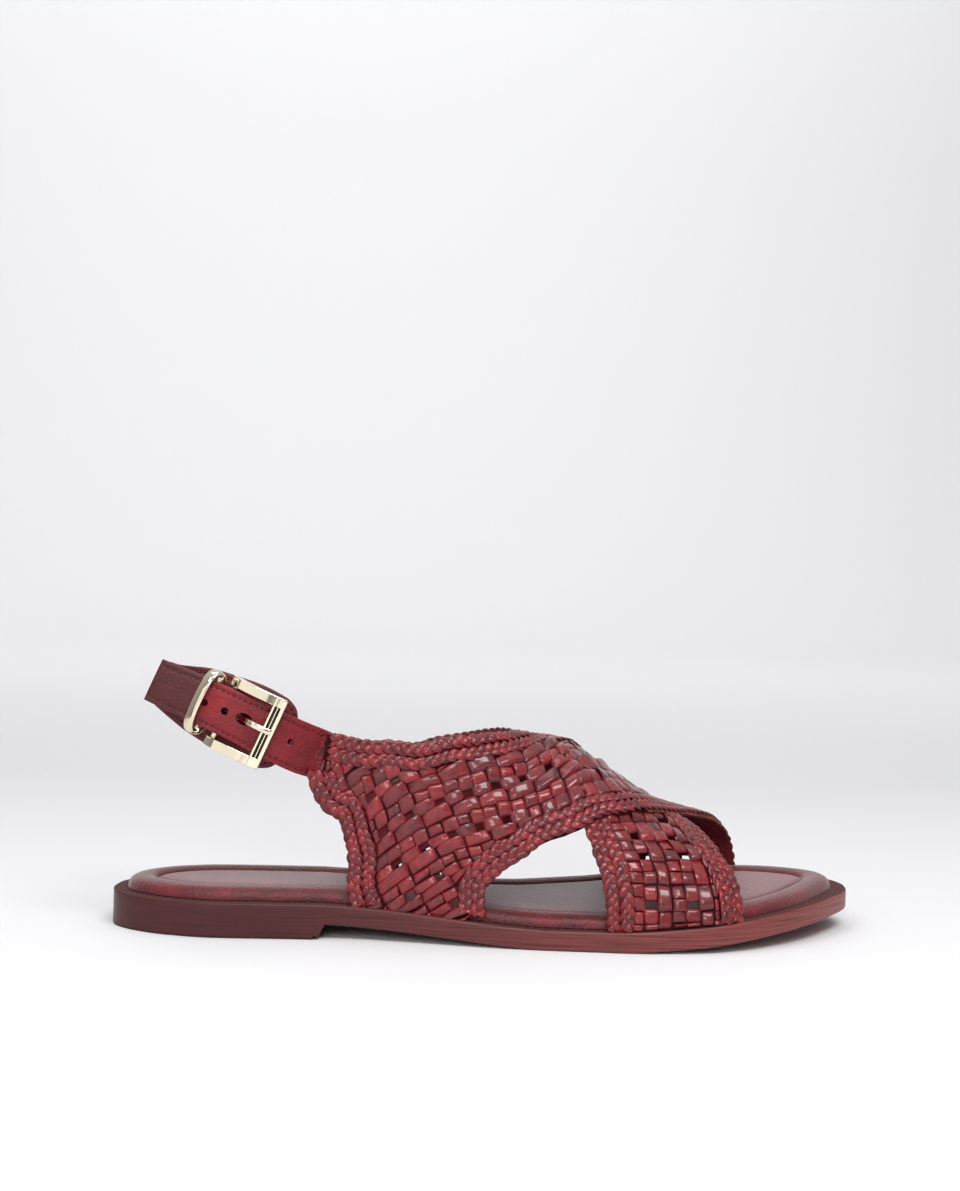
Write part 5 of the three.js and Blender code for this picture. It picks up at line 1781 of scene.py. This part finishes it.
    def chape(self) -> bpy.types.Object:
        """The leather fold: a half turn round the pivot and a tail down to the guard.

        Returns:
            The fold, in two halves beside the prong.
        """
        radius = self.fold_radius
        angle = np.pi * np.linspace(-0.62, 0.5, 24)
        path = np.concatenate([np.stack([radius * np.cos(angle), radius * np.sin(angle)], -1),
                               [(-back, radius) for back in (2.0, 4.0, 7.5, 11.0)]])
        ahead = unit(np.gradient(path, axis=0))
        normal = np.stack([-ahead[:, 1], ahead[:, 0]], -1)
        turn = off_axis_turn(20)
        rise = boxed(np.sin(turn), 0.5) * self.fold_thick / 2
        at = path[:, None, :] + normal[:, None, :] * rise[None, :, None]
        parts = []
        for low, high in self.folds:
            c = (low + high) / 2 + (high - low) / 2 * boxed(np.cos(turn), 0.3)
            parts.append(lofted(from_strap(PIVOT[0] + at[..., 0], PIVOT[1] + at[..., 1],
                                           c[None, :] + 0 * at[..., 0])))
        return finished(solid("chape_fold", *joined(parts), 60), SLING_CALF, "sling", "chape")

    def build(self) -> list[bpy.types.Object]:
        """The buckle's pieces."""
        return [self.frame(), self.front_bar(), self.prong(), self.keeper(), self.chape()]


# ---------------------------------------------------------------- studio
Place = tuple[float, float, float]


@dataclass(frozen=True)
class SoftLight:
    """One rectangular light: place and size in metres, power, and the point that it faces."""

    name: str
    at: Place
    size: tuple[float, float]
    watts: float
    aim: Place = (0.08, 0.0, 0.03)


LIGHTS = (
    SoftLight("key_softbox", (0.35, -0.8, 1.1), (0.8, 0.4), 12.0),
    SoftLight("top_softbox", (0.05, 0.15, 1.3), (0.9, 0.5), 2.8),
    SoftLight("left_card", (-0.62, -0.92, 0.3), (1.0, 0.6), 1.7),
    SoftLight("left_softbox", (-0.5, -0.7, 0.95), (0.35, 0.35), 2.5),
    SoftLight("front_softbox", (-0.1, -1.0, 0.45), (0.3, 0.3), 2.4),
    SoftLight("wall_wash", (0.0, 0.75, 1.9), (3.0, 0.8), 52.0, (0.0, 2.8, 1.5)))


@dataclass
class Studio:
    """Pale paper sweep, six soft lights and the camera, in metres."""

    eye: Place = (0.03533, -0.59748, 0.123)
    ahead: Place = (0.08296, 0.99634, -0.02042)
    up: Place = (-0.02527, 0.02258, 0.99942)
    focal_px: float = 1779.0
    photo_height: float = 1191.0
    sensor_mm: float = 36.0
    wall: float = 2.8
    sweep: float = 1.0

    def camera(self) -> None:
        """The camera where the photograph was taken, with its lens from the picture's long side."""
        data = bpy.data.cameras.new("camera")
        data.sensor_width = self.sensor_mm
        data.lens = self.sensor_mm * self.focal_px / self.photo_height
        data.clip_start, data.clip_end = 0.02, 20.0
        camera = bpy.data.objects.new("camera", data)
        back, up = -Vector(self.ahead).normalized(), Vector(self.up)
        right = up.cross(back).normalized()
        up = back.cross(right)
        turn = Matrix((right, up, back)).transposed()
        camera.matrix_world = Matrix.Translation(self.eye) @ turn.to_4x4()
        bpy.context.scene.collection.objects.link(camera)
        bpy.context.scene.camera = camera

    def light(self, plan: SoftLight) -> None:
        """A rectangular soft light aimed at a point.

        Args:
            plan: where it stands and how bright it is.
        """
        data = bpy.data.lights.new(plan.name, "AREA")
        data.shape, data.energy = "RECTANGLE", plan.watts
        data.size, data.size_y = plan.size
        lamp = bpy.data.objects.new(plan.name, data)
        lamp.location = plan.at
        lamp.rotation_euler = (Vector(plan.aim) - Vector(plan.at)).to_track_quat("-Z", "Y").to_euler()
        bpy.context.scene.collection.objects.link(lamp)

    def air(self) -> None:
        """The room's light: bright above and behind the shoe, dimmer on the camera's side."""
        world = bpy.data.worlds.new("studio_air")
        world.use_nodes = True
        tree = world.node_tree
        behind = add(tree, "SeparateXYZ", {0: add(tree, "TexCoord", out="Generated")}, "Y")
        above = behind.node.outputs["Z"]
        back = add(tree, "MapRange", {"Value": behind, "From Min": -0.6, "From Max": 0.5,
                                      "To Min": 0.2, "To Max": 0.5})
        high = add(tree, "MapRange", {"Value": above, "From Min": 0.1, "From Max": 0.9, "To Max": 0.25})
        level = add(tree, "Math", {0: high, 1: back}, operation="ADD")
        node = tree.nodes["Background"]
        node.inputs["Color"].default_value = linear("#f6f6f8")
        tree.links.new(level, node.inputs["Strength"])
        bpy.context.scene.world = world
        bpy.context.scene.view_settings.view_transform = "Standard"

    def build(self) -> None:
        """Paper on the floor that sweeps up far behind, and lights."""
        x = np.linspace(-4, 4, 3)
        turn = np.linspace(0, np.pi / 2, 13)
        y = np.concatenate([[-4.0], self.wall - self.sweep + self.sweep * np.sin(turn), [self.wall]])
        z = np.concatenate([[0.0], self.sweep - self.sweep * np.cos(turn), [4.0]])
        sheet = np.stack(np.broadcast_arrays(x[None, :], y[:, None], z[:, None]), -1)
        mesh = bpy.data.meshes.new("paper_sweep")
        mesh.from_pydata(sheet.reshape(-1, 3).tolist(), [], quads(len(y), len(x)).tolist())
        mesh.polygons.foreach_set("use_smooth", np.ones(len(mesh.polygons), bool))
        floor = bpy.data.objects.new("paper_sweep", mesh)
        mesh.materials.append(PAPER.material())
        bpy.context.scene.collection.objects.link(floor)
        self.air()
        for plan in LIGHTS:
            self.light(plan)
        self.camera()


def main() -> None:
    """Builds the sandal's sub-assemblies in order and reports their pieces."""
    Studio().build()
    pieces = [*Outsole().build(), Footbed().build()]
    over = OVER.build()
    pieces += [*over, *UNDER.build()]
    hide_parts("upper")
    strap = PiercedStrap("buckle_strap", FRONT_ROWS, STRAP_CALF, "strap", "front_strap", painted_shade_span=(40.0, 47.0))
    pieces += [*strap.build(), strap.across_stitches(0.6)]
    pieces += Strap("sling_strap", SLING_ROWS, SLING_CALF, "sling", "rear_strap").build()
    pieces += Buckle().build()
    log.info("%d pieces", len(pieces))


if __name__ == "__main__":
    main()
